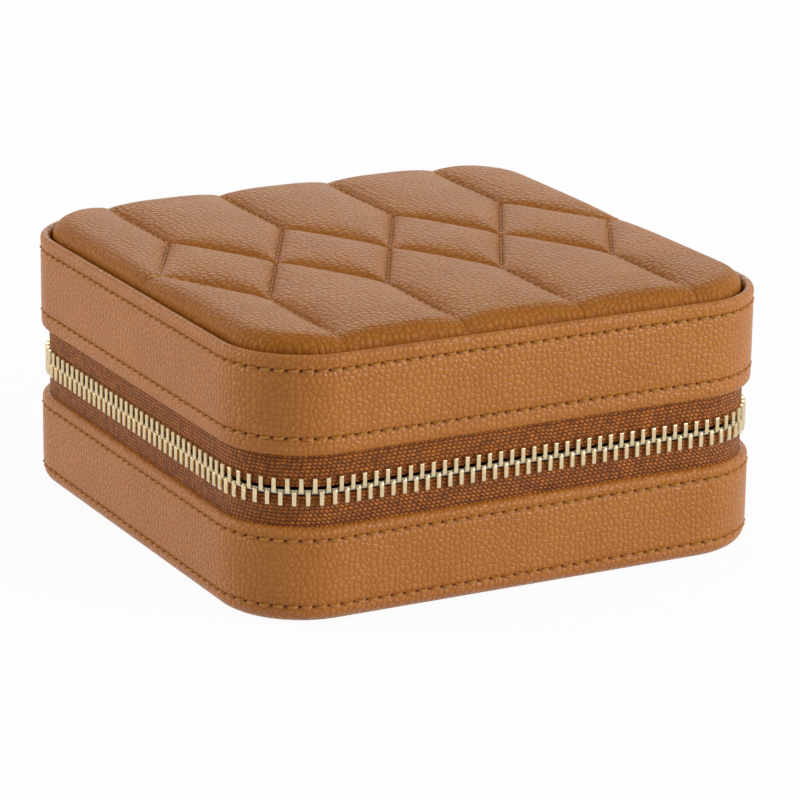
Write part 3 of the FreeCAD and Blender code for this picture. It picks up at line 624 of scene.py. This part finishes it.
def woven_tape(name):
    """Twill: slanted knots in rows, each row shifted against the last, with painted shade between the yarns.
    """
    material, place, shader = new_finish(name, {"Specular IOR Level": 0.25, "Sheen Weight": 0.1})
    flat = place.node("UVMap", {"uv_map": "unrolled"}, None, "UV")
    drift = place.noise(250.0, 1.0) * YARN_DRIFT
    along = place.node("SeparateXYZ", None, {"Vector": flat}, "X") + drift
    up = place.node("SeparateXYZ", None, {"Vector": flat}, "Y") + drift
    row = up * (1 / KNOT_HEIGHT)
    whole = place.node("Math", {"operation": "FLOOR"}, {0: row})
    rows = place.node("Math", {"operation": "SINE"}, {0: row * math.pi})
    turns = along * (1 / KNOT_LENGTH) + row * 0.35 + whole * 0.45
    knots = place.node("Math", {"operation": "SINE"}, {0: turns * math.pi})
    yarn = place.node("Math", {"operation": "ABSOLUTE"}, {0: rows * knots})
    fuzz = place.noise(3000.0, 2.0)
    uneven = place.noise(800.0, 2.0)
    # The russet yarn darkens towards the gaps between the knots: painted shade.
    shade = yarn.step(0.0, 0.6) * (0.3 + uneven.step(0.3, 0.7) * 0.6) + fuzz * 0.15
    shade.between((0.085, 0.019, 0.002, 1), (0.62, 0.185, 0.02, 1)).feed(shader, "Base Color")
    (0.75 - yarn * 0.25).feed(shader, "Roughness")
    height = yarn + fuzz * 0.15
    height.emboss(shader, 0.35 * MM, 1.0)
    return material


TAPE = woven_tape("woven_zip_tape")
TAPE_END = (STRAIGHT - TAPE_START, 2)
TAPE_SIDE = (2 * STRAIGHT, 1)
TAPE_CORNER = (0, 16)
TAPE_LEGS = [TAPE_END] + [TAPE_CORNER, TAPE_SIDE] * 3 + [TAPE_CORNER, TAPE_END]
STOPS_END = 44.3 * MM
CORD_FROM = Vector((-HALF, STRAIGHT, 0))
CORD_LEGS = [TAPE_SIDE, TAPE_CORNER, TAPE_SIDE, TAPE_CORNER, (STRAIGHT + STOPS_END, 1)]
BARE_FROM = Vector((HALF, STOPS_END, 0))
BARE_LEGS = [(STRAIGHT - STOPS_END, 1), TAPE_CORNER, TAPE_END]


def zip_tape(name, node, side, body):
    """A tape above or below the zip, with a beaded edge, the teeth's cord and a bare end past the stops."""
    tucked = ZIP_MIDDLE + side * TAPE_TUCKED
    chain_edge = ZIP_MIDDLE + side * CHAIN_GAP
    bead = chain_edge + side * BEAD_MIDDLE
    neck = chain_edge + side * BEAD_HEIGHT
    section = [(TAPE_OUT, tucked), (TAPE_OUT, neck), (TAPE_OUT - BEAD_SWELL, bead), (TAPE_OUT, chain_edge),
               (TAPE_IN, chain_edge), (TAPE_IN + BEAD_SWELL, bead), (TAPE_IN, neck), (TAPE_IN, tucked)]
    start = Vector((-TAPE_START, HALF, 0))
    bm = swept(section, start, math.pi / 2, TAPE_LEGS, CORNER_RADIUS)
    strips = ((CORD_FROM, math.pi, CORD_LEGS, CORD_GAP), (BARE_FROM, 0, BARE_LEGS, BARE_GAP))
    for place, facing, legs, gap in strips:
        edge = ZIP_MIDDLE + side * gap
        lips = [(TAPE_OUT, chain_edge), (TAPE_OUT, edge), (TAPE_IN, edge), (TAPE_IN, chain_edge)]
        strip = swept(lips, place, facing, legs, CORNER_RADIUS)
        stamp(bm, as_pattern(strip), Matrix.Identity(4))
    close_holes(bm)
    unroll(bm)
    tape = new_piece(name, bm, TAPE, body, [node])


zip_tape("lower_tape", "lower_zip_tape", -1, "base")
zip_tape("upper_tape", "upper_zip_tape", 1, "lid")

# Zip teeth and top stops
# Pale brass teeth, stamped and clamped over the beaded edges, each with a head that hooks between two others.
# The heads are darker: partly rubbed dull, partly painted shade where the bars beside them hide them. The
# last clip of each row, behind the slider, is a plain stop.

TOOTH_PITCH = 2.74 * MM
TOOTH_WIDTH = 1.1 * MM
TOOTH_TIP = -0.15 * MM
HEAD_WIDTH = 1.25 * MM
HEAD_DEPTH = 2 * MM
HEAD_HEIGHT = 1.1 * MM
HEAD_LIFT = 0.1 * MM
STOP_WIDTH = 2 * MM
STOP_TIP = 0.08 * MM
CLIP_HALF = 1.4 * MM
CLIP_SLOT = 0.5 * MM
CLIP_CROOK = 1.5 * MM
CLIP_FOOT = 3.1 * MM
CLIP_ROUND = 0.28 * MM
TAPE_MIDDLE = (TAPE_OUT + TAPE_IN) / 2
CHAIN_RADIUS = CORNER_RADIUS - TAPE_MIDDLE
CHAIN_CORNER = CHAIN_RADIUS * math.pi / 2
CHAIN_START = (GUSSET_WIDTH + TOOTH_PITCH) / 2
CHAIN_FINISH = 36.26 * MM
CHAIN_LENGTH = STRAIGHT - CHAIN_START + 3 * CHAIN_CORNER + 5 * STRAIGHT + CHAIN_FINISH


def plated_brass(name, dark, light):
    material, place, shader = new_finish(name, {"Metallic": 1.0})
    wear = place.noise(700.0, 3.0)
    wear.between(dark, light).feed(shader, "Base Color")
    (0.14 + wear * 0.16).feed(shader, "Roughness")
    return material


BRASS = plated_brass("pale_brass", (0.58, 0.44, 0.24, 1), (0.83, 0.7, 0.46, 1))
# Darker brass for the teeth's heads: partly wear, partly painted shade from the bars beside them.
WORN_AND_SHADED_BRASS = plated_brass("worn_and_shaded_brass", (0.34, 0.28, 0.19, 1), (0.52, 0.45, 0.33, 1))


def clip_pattern(width, tip, head=0.0):
    """A clip over a tape's edge, X outwards and Z away from the zip's middle; a tooth has a head as well."""
    bm = bmesh.new()
    outer_leg = [(CLIP_HALF, tip), (CLIP_HALF, CLIP_FOOT), (CLIP_SLOT, CLIP_FOOT), (CLIP_SLOT, CLIP_CROOK)]
    section = outer_leg + [(-x, z) for x, z in reversed(outer_leg)]
    chain = [bm.verts.new((x, -width / 2, z)) for x, z in section]
    raised(bm, [bm.faces.new(chain)], (0, width, 0))
    outer = [edge for edge in bm.edges if edge.calc_face_angle(0) > 1.0 and
             all(abs(abs(v.co.x) - CLIP_HALF) < 1e-6 for v in edge.verts)]
    rounded(bm, outer, CLIP_ROUND, 2)
    if head:
        block = bmesh.ops.create_cube(bm, size=1.0)["verts"]
        bmesh.ops.scale(bm, verts=block, vec=(HEAD_DEPTH, head, HEAD_HEIGHT))
        bmesh.ops.translate(bm, verts=block, vec=(0, 0, HEAD_LIFT))
        # The head takes the second brass, darker by wear and by painted shade.
        for face in {face for vert in block for face in vert.link_faces}:
            face.material_index = 1
    return as_pattern(bm)


def chain_place(distance):
    """A place on the tape's middle line, the way it faces and whether it is on the straight right side."""
    distance += STRAIGHT + CHAIN_START
    quarter = 2
    while distance > 2 * STRAIGHT + CHAIN_CORNER:
        distance -= 2 * STRAIGHT + CHAIN_CORNER
        quarter += 1
    turn = Matrix.Rotation(quarter * math.pi / 2, 3, "Z")
    if distance <= 2 * STRAIGHT:
        place = Vector((distance - STRAIGHT, -STRAIGHT - CHAIN_RADIUS, 0))
        return turn @ place, (quarter - 1) * math.pi / 2, quarter == 5
    angle = (distance - 2 * STRAIGHT) / CHAIN_RADIUS
    arm = Vector((math.sin(angle), -math.cos(angle), 0)) * CHAIN_RADIUS
    return turn @ (Vector((STRAIGHT, -STRAIGHT, 0)) + arm), (quarter - 1) * math.pi / 2 + angle, False


def zip_teeth(side, row, body):
    """One row of teeth in two pieces: the fixed run, and the right side where the slider passes."""
    tooth = clip_pattern(TOOTH_WIDTH, TOOTH_TIP, HEAD_WIDTH)
    over = Matrix.Scale(side, 4, (0, 0, 1))
    groups = {row: bmesh.new(), row + "_right": bmesh.new()}
    distance = TOOTH_PITCH / 2 if side > 0 else 0
    while distance <= CHAIN_LENGTH:
        place, facing, on_right = chain_place(distance)
        spot = Matrix.Translation(place + Vector((0, 0, ZIP_MIDDLE))) @ Matrix.Rotation(facing, 4, "Z") @ over
        stamp(groups[row + "_right" if on_right else row], tooth, spot)
        distance += TOOTH_PITCH
    for name, bm in groups.items():
        bmesh.ops.recalc_face_normals(bm, faces=bm.faces)
        node = name.replace("teeth", "zip_teeth", 1)
        teeth = new_piece(name, bm, BRASS, body, [node], sharp=30)
        # The second slot holds the heads' brass, darkened by wear and by painted shade.
        teeth.data.materials.append(WORN_AND_SHADED_BRASS)


zip_teeth(-1, "lower_teeth", "base")
zip_teeth(1, "upper_teeth", "lid")


def top_stop(name, node, side, body):
    """The plain clip that ends the slider's run, in its CAD piece's place."""
    low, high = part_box(node)
    middle = Vector(((low.x + high.x) / 2, (low.y + high.y) / 2, ZIP_MIDDLE))
    bm = bmesh.new()
    over = Matrix.Scale(side, 4, (0, 0, 1))
    stamp(bm, clip_pattern(STOP_WIDTH, STOP_TIP), Matrix.Translation(middle) @ over)
    bmesh.ops.recalc_face_normals(bm, faces=bm.faces)
    stop = new_piece(name, bm, BRASS, body, [node], sharp=30)


top_stop("lower_stop", "lower_top_stop", -1, "base")
top_stop("upper_stop", "upper_top_stop", 1, "lid")

# Zip slider
# A die-cast slider in the same brass: two plates joined by a post, lips beside the tapes and a bail outside.
# It is parked at the rear of the right side, against the stops. Its blocks are given in millimetres.

SLIDER = Vector((62.8 * MM, 36 * MM, ZIP_MIDDLE))
PLATE_FACES = (1.65, 2.75)
PLATE_RUN = (-6, 6)
PLATE_TAIL = (-4.6, 4.6)
PLATE_SHOULDER = (-5.6, 5.6)
PLATE_ROUND = 2.4
LIP_FACES = (0.65, 1.75)
LIP_RUN = (-4.2, 4.2)
LIP_TAIL = (3.55, 4.5)
LIP_SHOULDER = (4.45, 5.4)
POST_FACES = (-2, 2)
POST_RUN = (3, 5.8)
POST_TAIL = (-0.3, 0.3)
POST_SHOULDER = (-1.2, 1.2)
BAIL_FOOT = 2.27
BAIL_RUN = (-2.45, -1.65)
BAIL_HALF = 0.6
CAST_ROUND = 0.25 * MM


def mirrored(limits, side):
    """A pair of limits put on one side of the middle, lowest first."""
    return sorted(side * limit for limit in limits)


def tapered_block(bm, across, along, tail, shoulder, rounding=0):
    """A block with limits across and along the zip, and a pair of heights at its tail and at its shoulder."""
    corners = bmesh.ops.create_cube(bm, size=1.0)["verts"]
    for vert in corners:
        at_shoulder = vert.co.y > 0
        low, high = shoulder if at_shoulder else tail
        vert.co = Vector((across[vert.co.x > 0], along[at_shoulder], high if vert.co.z > 0 else low)) * MM
    edges = [edge for edge in bm.edges if edge.verts[0] in corners]
    if rounding:
        upright = [edge for edge in edges if abs(edge.verts[0].co.x - edge.verts[1].co.x) > 0.5 * MM]
        rounded(bm, upright, rounding * MM, 5)
        near, far = across[0] * MM - 1e-6, across[1] * MM + 1e-6
        edges = [edge for edge in bm.edges
                 if edge.calc_face_angle(0) > 1.0 and near < edge.verts[0].co.x < far]
    rounded(bm, edges, CAST_ROUND, 2)


def closed_line(bm, points):
    """A closed line through points in millimetres, to be spun."""
    chain = [bm.verts.new(Vector(point) * MM) for point in points]
    return chain + [bm.edges.new((chain[k - 1], chain[k])) for k in range(len(chain))]


def oblong(run, half):
    """The corners of an oblong, in order: a run one way and half a width to each side of it."""
    return [(run[0], -half), (run[1], -half), (run[1], half), (run[0], half)]


bm = bmesh.new()
for side in (1, -1):
    tapered_block(bm, mirrored(PLATE_FACES, side), PLATE_RUN, PLATE_TAIL, PLATE_SHOULDER, PLATE_ROUND)
    for sign in (-1, 1):
        tapered_block(bm, mirrored(LIP_FACES, side), LIP_RUN, mirrored(LIP_TAIL, sign),
                      mirrored(LIP_SHOULDER, sign))
tapered_block(bm, POST_FACES, POST_RUN, POST_TAIL, POST_SHOULDER)
strip = closed_line(bm, [(BAIL_FOOT, y, z) for y, z in oblong(BAIL_RUN, BAIL_HALF)])
bmesh.ops.spin(bm, geom=strip, cent=(BAIL_FOOT * MM, 0, 0), axis=(0, 0, 1), angle=math.pi, steps=14,
               use_merge=False)
close_holes(bm)
bmesh.ops.translate(bm, verts=bm.verts, vec=SLIDER)
slider = new_piece("brass_slider", bm, BRASS, "zip_slider", ["slider_body"], sharp=35)

# Zip pull
# A flat brass pull with a long slot, cast with the eye that rides on the slider's bail.
# It hangs straight down against the base when nobody holds it.

BAIL = SLIDER + Vector((4.32 * MM, 0, 0))
PULL_MIDDLE = -13.6 * MM
PULL_HALF_LENGTH = 8.4 * MM
PULL_HALF_WIDTH = 3.5 * MM
PULL_THICKNESS = 1.4 * MM
PULL_ROUND = 0.35 * MM
SLOT_MIDDLE = -14.5 * MM
SLOT_HALF_LENGTH = 4 * MM
SLOT_HALF_WIDTH = 1.5 * MM
NECK_FACES = (-0.65, 0.65)
NECK_RUN = (-1.45, 1.45)
NECK_HEIGHTS = (-6, -1)
EYE_WALL = (0.9, 1.42)
EYE_HALF = 1.5


def stadium(bm, middle, half_length, half_width):
    """A flat round-ended outline in the YZ plane."""
    circle = bmesh.ops.create_circle(bm, cap_ends=False, segments=40, radius=half_width)["verts"]
    for vert in circle:
        shift = math.copysign(half_length - half_width, vert.co.y)
        vert.co = Vector((0, vert.co.x, middle + vert.co.y + shift))
    return [edge for edge in bm.edges if edge.verts[0] in circle]


bm = bmesh.new()
rim = stadium(bm, PULL_MIDDLE, PULL_HALF_LENGTH, PULL_HALF_WIDTH)
slot = stadium(bm, SLOT_MIDDLE, SLOT_HALF_LENGTH, SLOT_HALF_WIDTH)
bmesh.ops.bridge_loops(bm, edges=rim + slot)
raised(bm, bm.faces[:], (PULL_THICKNESS, 0, 0))
bmesh.ops.translate(bm, verts=bm.verts, vec=(-PULL_THICKNESS / 2, 0, 0))
rounded(bm, [edge for edge in bm.edges if edge.calc_face_angle(0) > 1.0], PULL_ROUND, 3)
tapered_block(bm, NECK_FACES, NECK_RUN, NECK_HEIGHTS, NECK_HEIGHTS)
eye = closed_line(bm, [(radius, y, 0) for radius, y in oblong(EYE_WALL, EYE_HALF)])
bmesh.ops.spin(bm, geom=eye, cent=(0, 0, 0), axis=(0, 1, 0), angle=2 * math.pi, steps=24, use_merge=True)
bmesh.ops.recalc_face_normals(bm, faces=bm.faces)
bmesh.ops.translate(bm, verts=bm.verts, vec=BAIL)
pull = new_piece("brass_pull", bm, BRASS, "zip_pull", ["pull_tab"], sharp=35)

# Gusset at the back
# One piece of thin hide, sewn behind both leather edges in the middle of the back, where the zip is left out.
# The lid folds on it, so on the real case it bends between the base and the lid; here it is built flat and
# rides on neither half.

GUSSET_OUT = HALF - TAPE_OUT
GUSSET_THICKNESS = 0.8 * MM
bm = bmesh.new()
bmesh.ops.create_grid(bm, x_segments=32, y_segments=72, size=0.5)
bmesh.ops.scale(bm, verts=bm.verts, vec=(GUSSET_WIDTH, 2 * TAPE_TUCKED, 1))
bmesh.ops.rotate(bm, verts=bm.verts, cent=(0, 0, 0), matrix=Matrix.Rotation(-math.pi / 2, 3, "X"))
bmesh.ops.translate(bm, verts=bm.verts, vec=(0, GUSSET_OUT, ZIP_MIDDLE))
bmesh.ops.solidify(bm, geom=bm.faces[:], thickness=GUSSET_THICKNESS)
bmesh.ops.recalc_face_normals(bm, faces=bm.faces)
unroll(bm)
GUSSET_LEATHER = pebbled_leather("gusset_leather", TAN_LIGHT, TAN_DARK, 1.6 * MM, 0.11 * MM, unrolled=True)
gusset = new_piece("back_gusset", bm, GUSSET_LEATHER, None, ["spine_lower_flap", "spine_upper_flap"])
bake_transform(gusset)

# Suede lining of the lid
# The same camel suede, glued to the walls and the ceiling, which carries the mirror.
# Like the base's, it is turned outwards over the board's edge to the zip.

LID_EDGE = 37.2 * MM
LID_CEILING = 52.1 * MM
lining_tray("lid_suede", "lid_lining", LID_CEILING, LID_EDGE, "lid")

# Mirror and its padded frame
# Silvered glass lies against the lining of the lid.
# A foam ring wrapped in suede is glued round it, and its rolled inner side laps the glass and holds it.


def silvered_glass(name):
    material, place, shader = new_finish(name, {"Metallic": 1.0})
    haze = place.noise(40.0, 2.0)
    haze.between((0.86, 0.88, 0.88, 1), (0.92, 0.93, 0.93, 1)).feed(shader, "Base Color")
    (0.015 + haze * 0.02).feed(shader, "Roughness")
    return material


finish_node("mirror", silvered_glass("silvered_glass"))
FRAME_HALF = 54.1 * MM
FRAME_CORNER = 14 * MM
FRAME_ROLL = [(0, 52), (5.9, 52), (5.9, 49.9), (9, 49.9), (8.95, 49.6), (8.6, 49.15), (7.9, 48.85),
              (6.6, 48.65), (4.5, 48.55), (2.6, 48.65), (1.2, 49.0), (0.35, 49.7), (0.05, 50.6)]
profile = [(inset * MM, height * MM) for inset, height in FRAME_ROLL]
bm = swept_round(profile, 1, LINING_CORNER_STEPS, FRAME_HALF, FRAME_CORNER)
padded_frame = new_piece("suede_frame", bm, SUEDE, "lid", ["mirror_frame"])

# Leather wall of the lid
# A strip like the base's, but its upper edge is rolled over a cord into a rim round the quilted top.
# One sewn row holds the rim, the other the turned-in edge above the zip.

RIM_TOP = 59.3 * MM
RIM_ROLL = 1.1 * MM
RIM_FOOT = 55.3 * MM
LID_ROWS = [41.2 * MM, 56.0 * MM]
lid_turn = turned_edge(EDGE_TURN, LID_EDGE + EDGE_TURN, EDGE_TURN, -90, 0, 6)
rim_out = turned_edge(RIM_ROLL, RIM_TOP - RIM_ROLL, RIM_ROLL, 0, 90, 6)
rim_in = turned_edge(RIM_ROLL, RIM_TOP - RIM_ROLL, RIM_ROLL, 105, 180, 5)
lid_face = sewn_face(lid_turn + rim_out, LID_ROWS)
lid_inside = rim_in + [(2 * RIM_ROLL, RIM_FOOT), (LEATHER, RIM_FOOT), (LEATHER, LID_EDGE)]
bm = swept_round(lid_face + lid_inside, SIDE_COLUMNS, CORNER_COLUMNS)
pierce(bm, LID_ROWS)
unroll(bm)
lid_leather = new_piece("lid_leather", bm, WALL_LEATHER, "lid", ["lid_band"])
thread_rows("lid_thread", LID_ROWS, lid_face, SEWING_THREAD, "lid")

# Quilted top
# Hide over foam, sewn to a backing in a row of four diamonds with straight seams out to the edges.
# Each cell swells between its seams, with painted shade in the creases along them, and the panel is rounded
# over its foam edge behind the rim.

PAD_HALF = 62.1 * MM
PAD_CORNER = 17.1 * MM
PAD_STRAIGHT = PAD_HALF - PAD_CORNER
PAD_FOOT = 55.4 * MM
PAD_EDGE = 58.9 * MM
PAD_ROUND = 4.6 * MM
SEAM_LEVEL = 60.3 * MM
SEAM_STEP = 0.3 * MM
PAINTED_SEAM_SHADE = 0.52
SEAM_SHADE_SPREAD = 0.28 * MM
PUFF = 2.8 * MM
SHOULDER_SHARE = 0.4
SHOULDER_REACH = 1.1 * MM
BELLY_REACH = 10.5 * MM
HELD_REACH = 14 * MM
HELD_SHARE = 0.3
HELD_LIFT = 1.3 * MM
PANEL_CROWN = 0.4 * MM
PITCH = 28.8 * MM
DIAMOND = 25.75 * MM
SEAM_COLUMNS = [-1.5 * PITCH, -0.5 * PITCH, 0.5 * PITCH, 1.5 * PITCH]
TIP = 2 * PITCH
EDGE_STEPS = [0, 0.12, 0.4, 0.85, 1.5, 2.3, 3.3]
EDGE_BAND = 4.3 * MM
EDGE_WRAP = 1.6 * MM
COLUMN_STEPS = 16
ROW_COUNT = 34


def panel_columns():
    """Places across the panel: close together at the edges and beside the seams."""
    left = [-PAD_HALF + step * MM for step in EDGE_STEPS]
    half_cell = PITCH / 2
    between = [half_cell * k / COLUMN_STEPS for k in range(1, COLUMN_STEPS)]
    strip = [0, SEAM_STEP] + between + [half_cell - SEAM_STEP]
    inner = [-TIP + k * half_cell + step for k in range(8) for step in strip]
    return left + inner + [TIP] + [-x for x in reversed(left)]


def panel_rows(x):
    """Places along one column, front to rear: the edge, a cell, the diamond, a cell and the edge."""
    over = max(abs(x) - PAD_STRAIGHT, 0.0)
    edge = PAD_STRAIGHT + math.sqrt(max(PAD_CORNER ** 2 - over ** 2, 0.0))
    away = min(abs(x - seam) for seam in SEAM_COLUMNS)
    seam = DIAMOND * max(1 - away / (PITCH / 2), 0.0) if abs(x) < TIP else 0.0
    start = edge - EDGE_BAND
    shares = [k / ROW_COUNT for k in range(ROW_COUNT)] + [0.985]
    front = [-(edge - step * MM) for step in EDGE_STEPS]
    front += [-(start + (seam - start) * share) for share in shares]
    middle = [-0.9 + 1.8 * k / ROW_COUNT for k in range(ROW_COUNT + 1)]
    bend = [-1, -0.985, -0.955] + middle + [0.955, 0.985, 1]
    return front + [seam * share for share in bend] + [-y for y in reversed(front)]


def quilt_seams():
    """The seams as pairs of points: the diamonds' sides, then the runs to the four edges."""
    seams = []
    for x in SEAM_COLUMNS:
        for y in (-DIAMOND, DIAMOND):
            seams += [((x - PITCH / 2, 0), (x, y)), ((x, y), (x + PITCH / 2, 0))]
            seams.append(((x, y), (x, math.copysign(PAD_HALF, y))))
    return seams + [((-TIP, 0), (-PAD_HALF, 0)), ((TIP, 0), (PAD_HALF, 0))]


def seam_distances(points):
    """How far each point is from each seam."""
    found = []
    for start, end in quilt_seams():
        a = np.array(start)
        run = np.array(end) - a
        share = np.clip(((points - a) @ run) / (run @ run), 0, 1)
        found.append(np.linalg.norm(points - a - share[:, None] * run, axis=1))
    return np.array(found)


def panel_inset(points):
    """How far each point is inside the panel's edge."""
    over = np.maximum(np.abs(points) - PAD_STRAIGHT, 0)
    return PAD_CORNER - np.linalg.norm(over, axis=1)


def panel_heights(points):
    """Heights of the stuffed panel, whose cells swell between the seams, and how far the next seam is."""
    apart = np.maximum(seam_distances(points), 1e-7)
    near = (apart ** -3.0).sum(axis=0) ** (-1 / 3.0)
    shoulder = SHOULDER_SHARE * (1 - np.exp(-near / SHOULDER_REACH))
    belly = (1 - SHOULDER_SHARE) * np.sin(np.minimum(near / BELLY_REACH, 1) * math.pi / 2)
    crown = PANEL_CROWN * (1 - (points[:, 0] / PAD_HALF) ** 2) * (1 - (points[:, 1] / PAD_HALF) ** 2)
    held = np.clip(panel_inset(points) / HELD_REACH, 0, 1)
    puff = PUFF * (HELD_SHARE + (1 - HELD_SHARE) * held) * (shoulder + belly)
    level = SEAM_LEVEL + HELD_LIFT * (1 - held) + puff + crown
    share = np.clip(panel_inset(points) / PAD_ROUND, 0, 1)
    return PAD_EDGE + (level - PAD_EDGE) * (1 - (1 - share) ** 2) ** 0.5, apart.min(axis=0)


columns = panel_columns()
rows = [panel_rows(x) for x in columns]
bm = bmesh.new()
bmesh.ops.create_grid(bm, x_segments=len(columns) - 1, y_segments=len(rows[0]) - 1, size=1.0)
for vert in bm.verts:
    i = round((vert.co.x + 1) / 2 * (len(columns) - 1))
    j = round((vert.co.y + 1) / 2 * (len(rows[0]) - 1))
    vert.co = Vector((columns[i], rows[i][j], 0))
bmesh.ops.remove_doubles(bm, verts=bm.verts, dist=0.001 * MM)
points = np.array([vert.co[:2] for vert in bm.verts])
heights, beside_seam = panel_heights(points)
# Painted shade along the seams' creases, kept in the same mask as the needle holes' painted shade.
crease = bm.verts.layers.float.new("recess_shade_mask")
for vert, height, gap in zip(bm.verts, heights, beside_seam):
    vert.co.z = height
    vert[crease] = PAINTED_SEAM_SHADE * math.exp(-((gap / SEAM_SHADE_SPREAD) ** 2))
over = np.sign(points) * np.maximum(np.abs(points) - PAD_STRAIGHT, 0)
outwards = over / np.maximum(np.linalg.norm(over, axis=1, keepdims=True), 1e-9)
near_edge = np.clip(1 - panel_inset(points) / PAD_ROUND, 0, 1)
unrolled = points + outwards * (near_edge ** 2 * EDGE_WRAP)[:, None]
layer = bm.loops.layers.uv.new("unrolled")
bm.verts.index_update()
for face in bm.faces:
    for loop in face.loops:
        loop[layer].uv = unrolled[loop.vert.index]
rim = [edge for edge in bm.edges if edge.is_boundary]
skirt = bmesh.ops.extrude_edge_only(bm, edges=rim)
for item in skirt["geom"]:
    if isinstance(item, bmesh.types.BMVert):
        item.co.z = PAD_FOOT
close_holes(bm)
# The top is the walls' hide: its tan is darkened as painted shade, against the white sheen that it catches at
# a low angle.
SHADED_QUILT_LIGHT = (0.45, 0.165, 0.024, 1)
SHADED_QUILT_DARK = (0.28, 0.085, 0.008, 1)
QUILT_LEATHER = pebbled_leather("quilt_leather", SHADED_QUILT_LIGHT, SHADED_QUILT_DARK, 1.5 * MM, 0.22 * MM, gloss=0.09,
                                unrolled=True, sewn=True)
quilt = new_piece("quilted_panel", bm, QUILT_LEATHER, "lid", ["quilted_top"], sharp=75)

# Thread of the quilting
# The same golden thread, sewn through the hide, the foam and the backing.
# It is pulled tight, so it lies deep in the creases between the cells.

QUILT_PITCH = 3 * MM
QUILT_STITCH = 2.6 * MM
QUILT_MARGIN = 2.5 * MM
THREAD_LIFT = 0.06 * MM
bm = bmesh.new()
pattern = stitch_pattern(QUILT_STITCH)
flat = Matrix.Rotation(-math.pi / 2, 4, "Y")
for start, end in quilt_seams():
    first = Vector((*start, 0))
    run = Vector((*end, 0)) - first
    turn = Matrix.Rotation(math.atan2(run.y, run.x) - math.pi / 2, 4, "Z")
    for k in range(int(run.length / QUILT_PITCH)):
        spot = first + run.normalized() * (k + 0.5) * QUILT_PITCH
        here = np.array([spot[:2]])
        if panel_inset(here)[0] >= QUILT_MARGIN:
            spot.z = panel_heights(here)[0][0] + THREAD_LIFT
            stamp(bm, pattern, Matrix.Translation(spot) @ turn @ flat)
new_piece("quilt_thread", bm, SEWING_THREAD, "lid", [])

# Studio
# A white floor and white surroundings, with soft lamps in front, behind on both sides and overhead.
# Both side faces carry a soft sheen, the quilting is lit low from behind and the front corner stays deep.


def seen_rays(tree):
    """Counts the rays that show the surroundings: to the camera, in a reflection or through a clear piece."""
    rays = tree.nodes.new("ShaderNodeLightPath")
    seen = Field(tree, rays.outputs["Is Camera Ray"]) + Field(tree, rays.outputs["Is Glossy Ray"])
    return seen + Field(tree, rays.outputs["Is Transmission Ray"])


def stage_white(name):
    """White that keeps the case's shadow; it shows near white to the camera and in reflections."""
    material = bpy.data.materials.new(name)
    material.use_nodes = True
    tree = material.node_tree
    tree.nodes.remove(tree.nodes["Principled BSDF"])
    seen = seen_rays(tree)
    paint = seen.node("BsdfDiffuse", None, {"Color": (0.92, 0.92, 0.92, 1)})
    glow = seen.node("Emission", None, {"Color": (1, 1, 1, 1), "Strength": 1.0})
    mixed = seen.node("MixShader", None, {0: seen * 0.95, 1: paint, 2: glow})
    tree.links.new(mixed.socket, tree.nodes["Material Output"].inputs["Surface"])
    return material


bm = bmesh.new()
bmesh.ops.create_grid(bm, x_segments=2, y_segments=2, size=4.0)
bmesh.ops.translate(bm, verts=bm.verts, vec=(0, 0, -0.1 * MM))
floor = new_piece("studio_floor", bm, stage_white("studio_white"), None, [])


def soft_lamp(name, place, aim, width, height, power, tint):
    lamp = bpy.data.lights.new(name, "AREA")
    lamp.color = tint
    lamp.shape = "RECTANGLE"
    lamp.size = width
    lamp.size_y = height
    lamp.energy = power
    holder = bpy.data.objects.new(name, lamp)
    holder.location = place
    holder.rotation_euler = (Vector(aim) - Vector(place)).to_track_quat("-Z", "Y").to_euler()
    bpy.context.scene.collection.objects.link(holder)


CASE_MIDDLE = (0, 0, 0.03)
NEUTRAL = (1.0, 1.0, 1.0)
WARM = (1.0, 0.9, 0.74)
soft_lamp("front_right_lamp", (0.85, -0.95, 0.5), CASE_MIDDLE, 0.6, 0.6, 10.5, NEUTRAL)
soft_lamp("rear_left_lamp", (-1.1, 0.75, 0.45), CASE_MIDDLE, 0.6, 0.6, 7.0, WARM)
soft_lamp("rear_right_lamp", (0.5, 1.0, 0.42), CASE_MIDDLE, 0.7, 0.3, 1.7, WARM)
soft_lamp("overhead_lamp", (-0.1, 0.1, 1.2), CASE_MIDDLE, 0.9, 0.9, 0.8, NEUTRAL)

world = bpy.data.worlds.new("studio_world")
bpy.context.scene.world = world
world.use_nodes = True
tree = world.node_tree
seen = seen_rays(tree)
strength = 0.4 + seen.math("MINIMUM", seen, 1.0) * 0.6
tree.links.new(strength.socket, tree.nodes["Background"].inputs["Strength"])
tree.nodes["Background"].inputs["Color"].default_value = (1, 1, 1, 1)

# Camera
# It stands in front of the left corner, a little above the lid, and is tipped very slightly clockwise.
# The lens is long, so the case shows almost no perspective.

AZIMUTH = math.radians(-28.27)
ELEVATION = math.radians(17.19)
ROLL = math.radians(0.78)
DISTANCE = 883.6 * MM
AIM = Vector((0.39, -4.94, 26.45)) * MM
SENSOR = 36.0
FOCUS_PIXELS = 3872.6
IMAGE_PIXELS = 800
back = Vector((math.sin(AZIMUTH) * math.cos(ELEVATION),
               -math.cos(AZIMUTH) * math.cos(ELEVATION),
               math.sin(ELEVATION)))
lens = bpy.data.cameras.new("photo_camera")
lens.sensor_width = SENSOR
lens.lens = FOCUS_PIXELS * SENSOR / IMAGE_PIXELS
lens.clip_start = 0.01
lens.clip_end = 100
camera = bpy.data.objects.new("photo_camera", lens)
camera.rotation_mode = "QUATERNION"
camera.location = AIM + back * DISTANCE
tilt = Matrix.Rotation(ROLL, 4, "Z").to_quaternion()
camera.rotation_quaternion = (-back).to_track_quat("-Z", "Y") @ tilt
bpy.context.scene.collection.objects.link(camera)
bpy.context.scene.camera = camera
bpy.context.scene.view_settings.view_transform = "Standard"
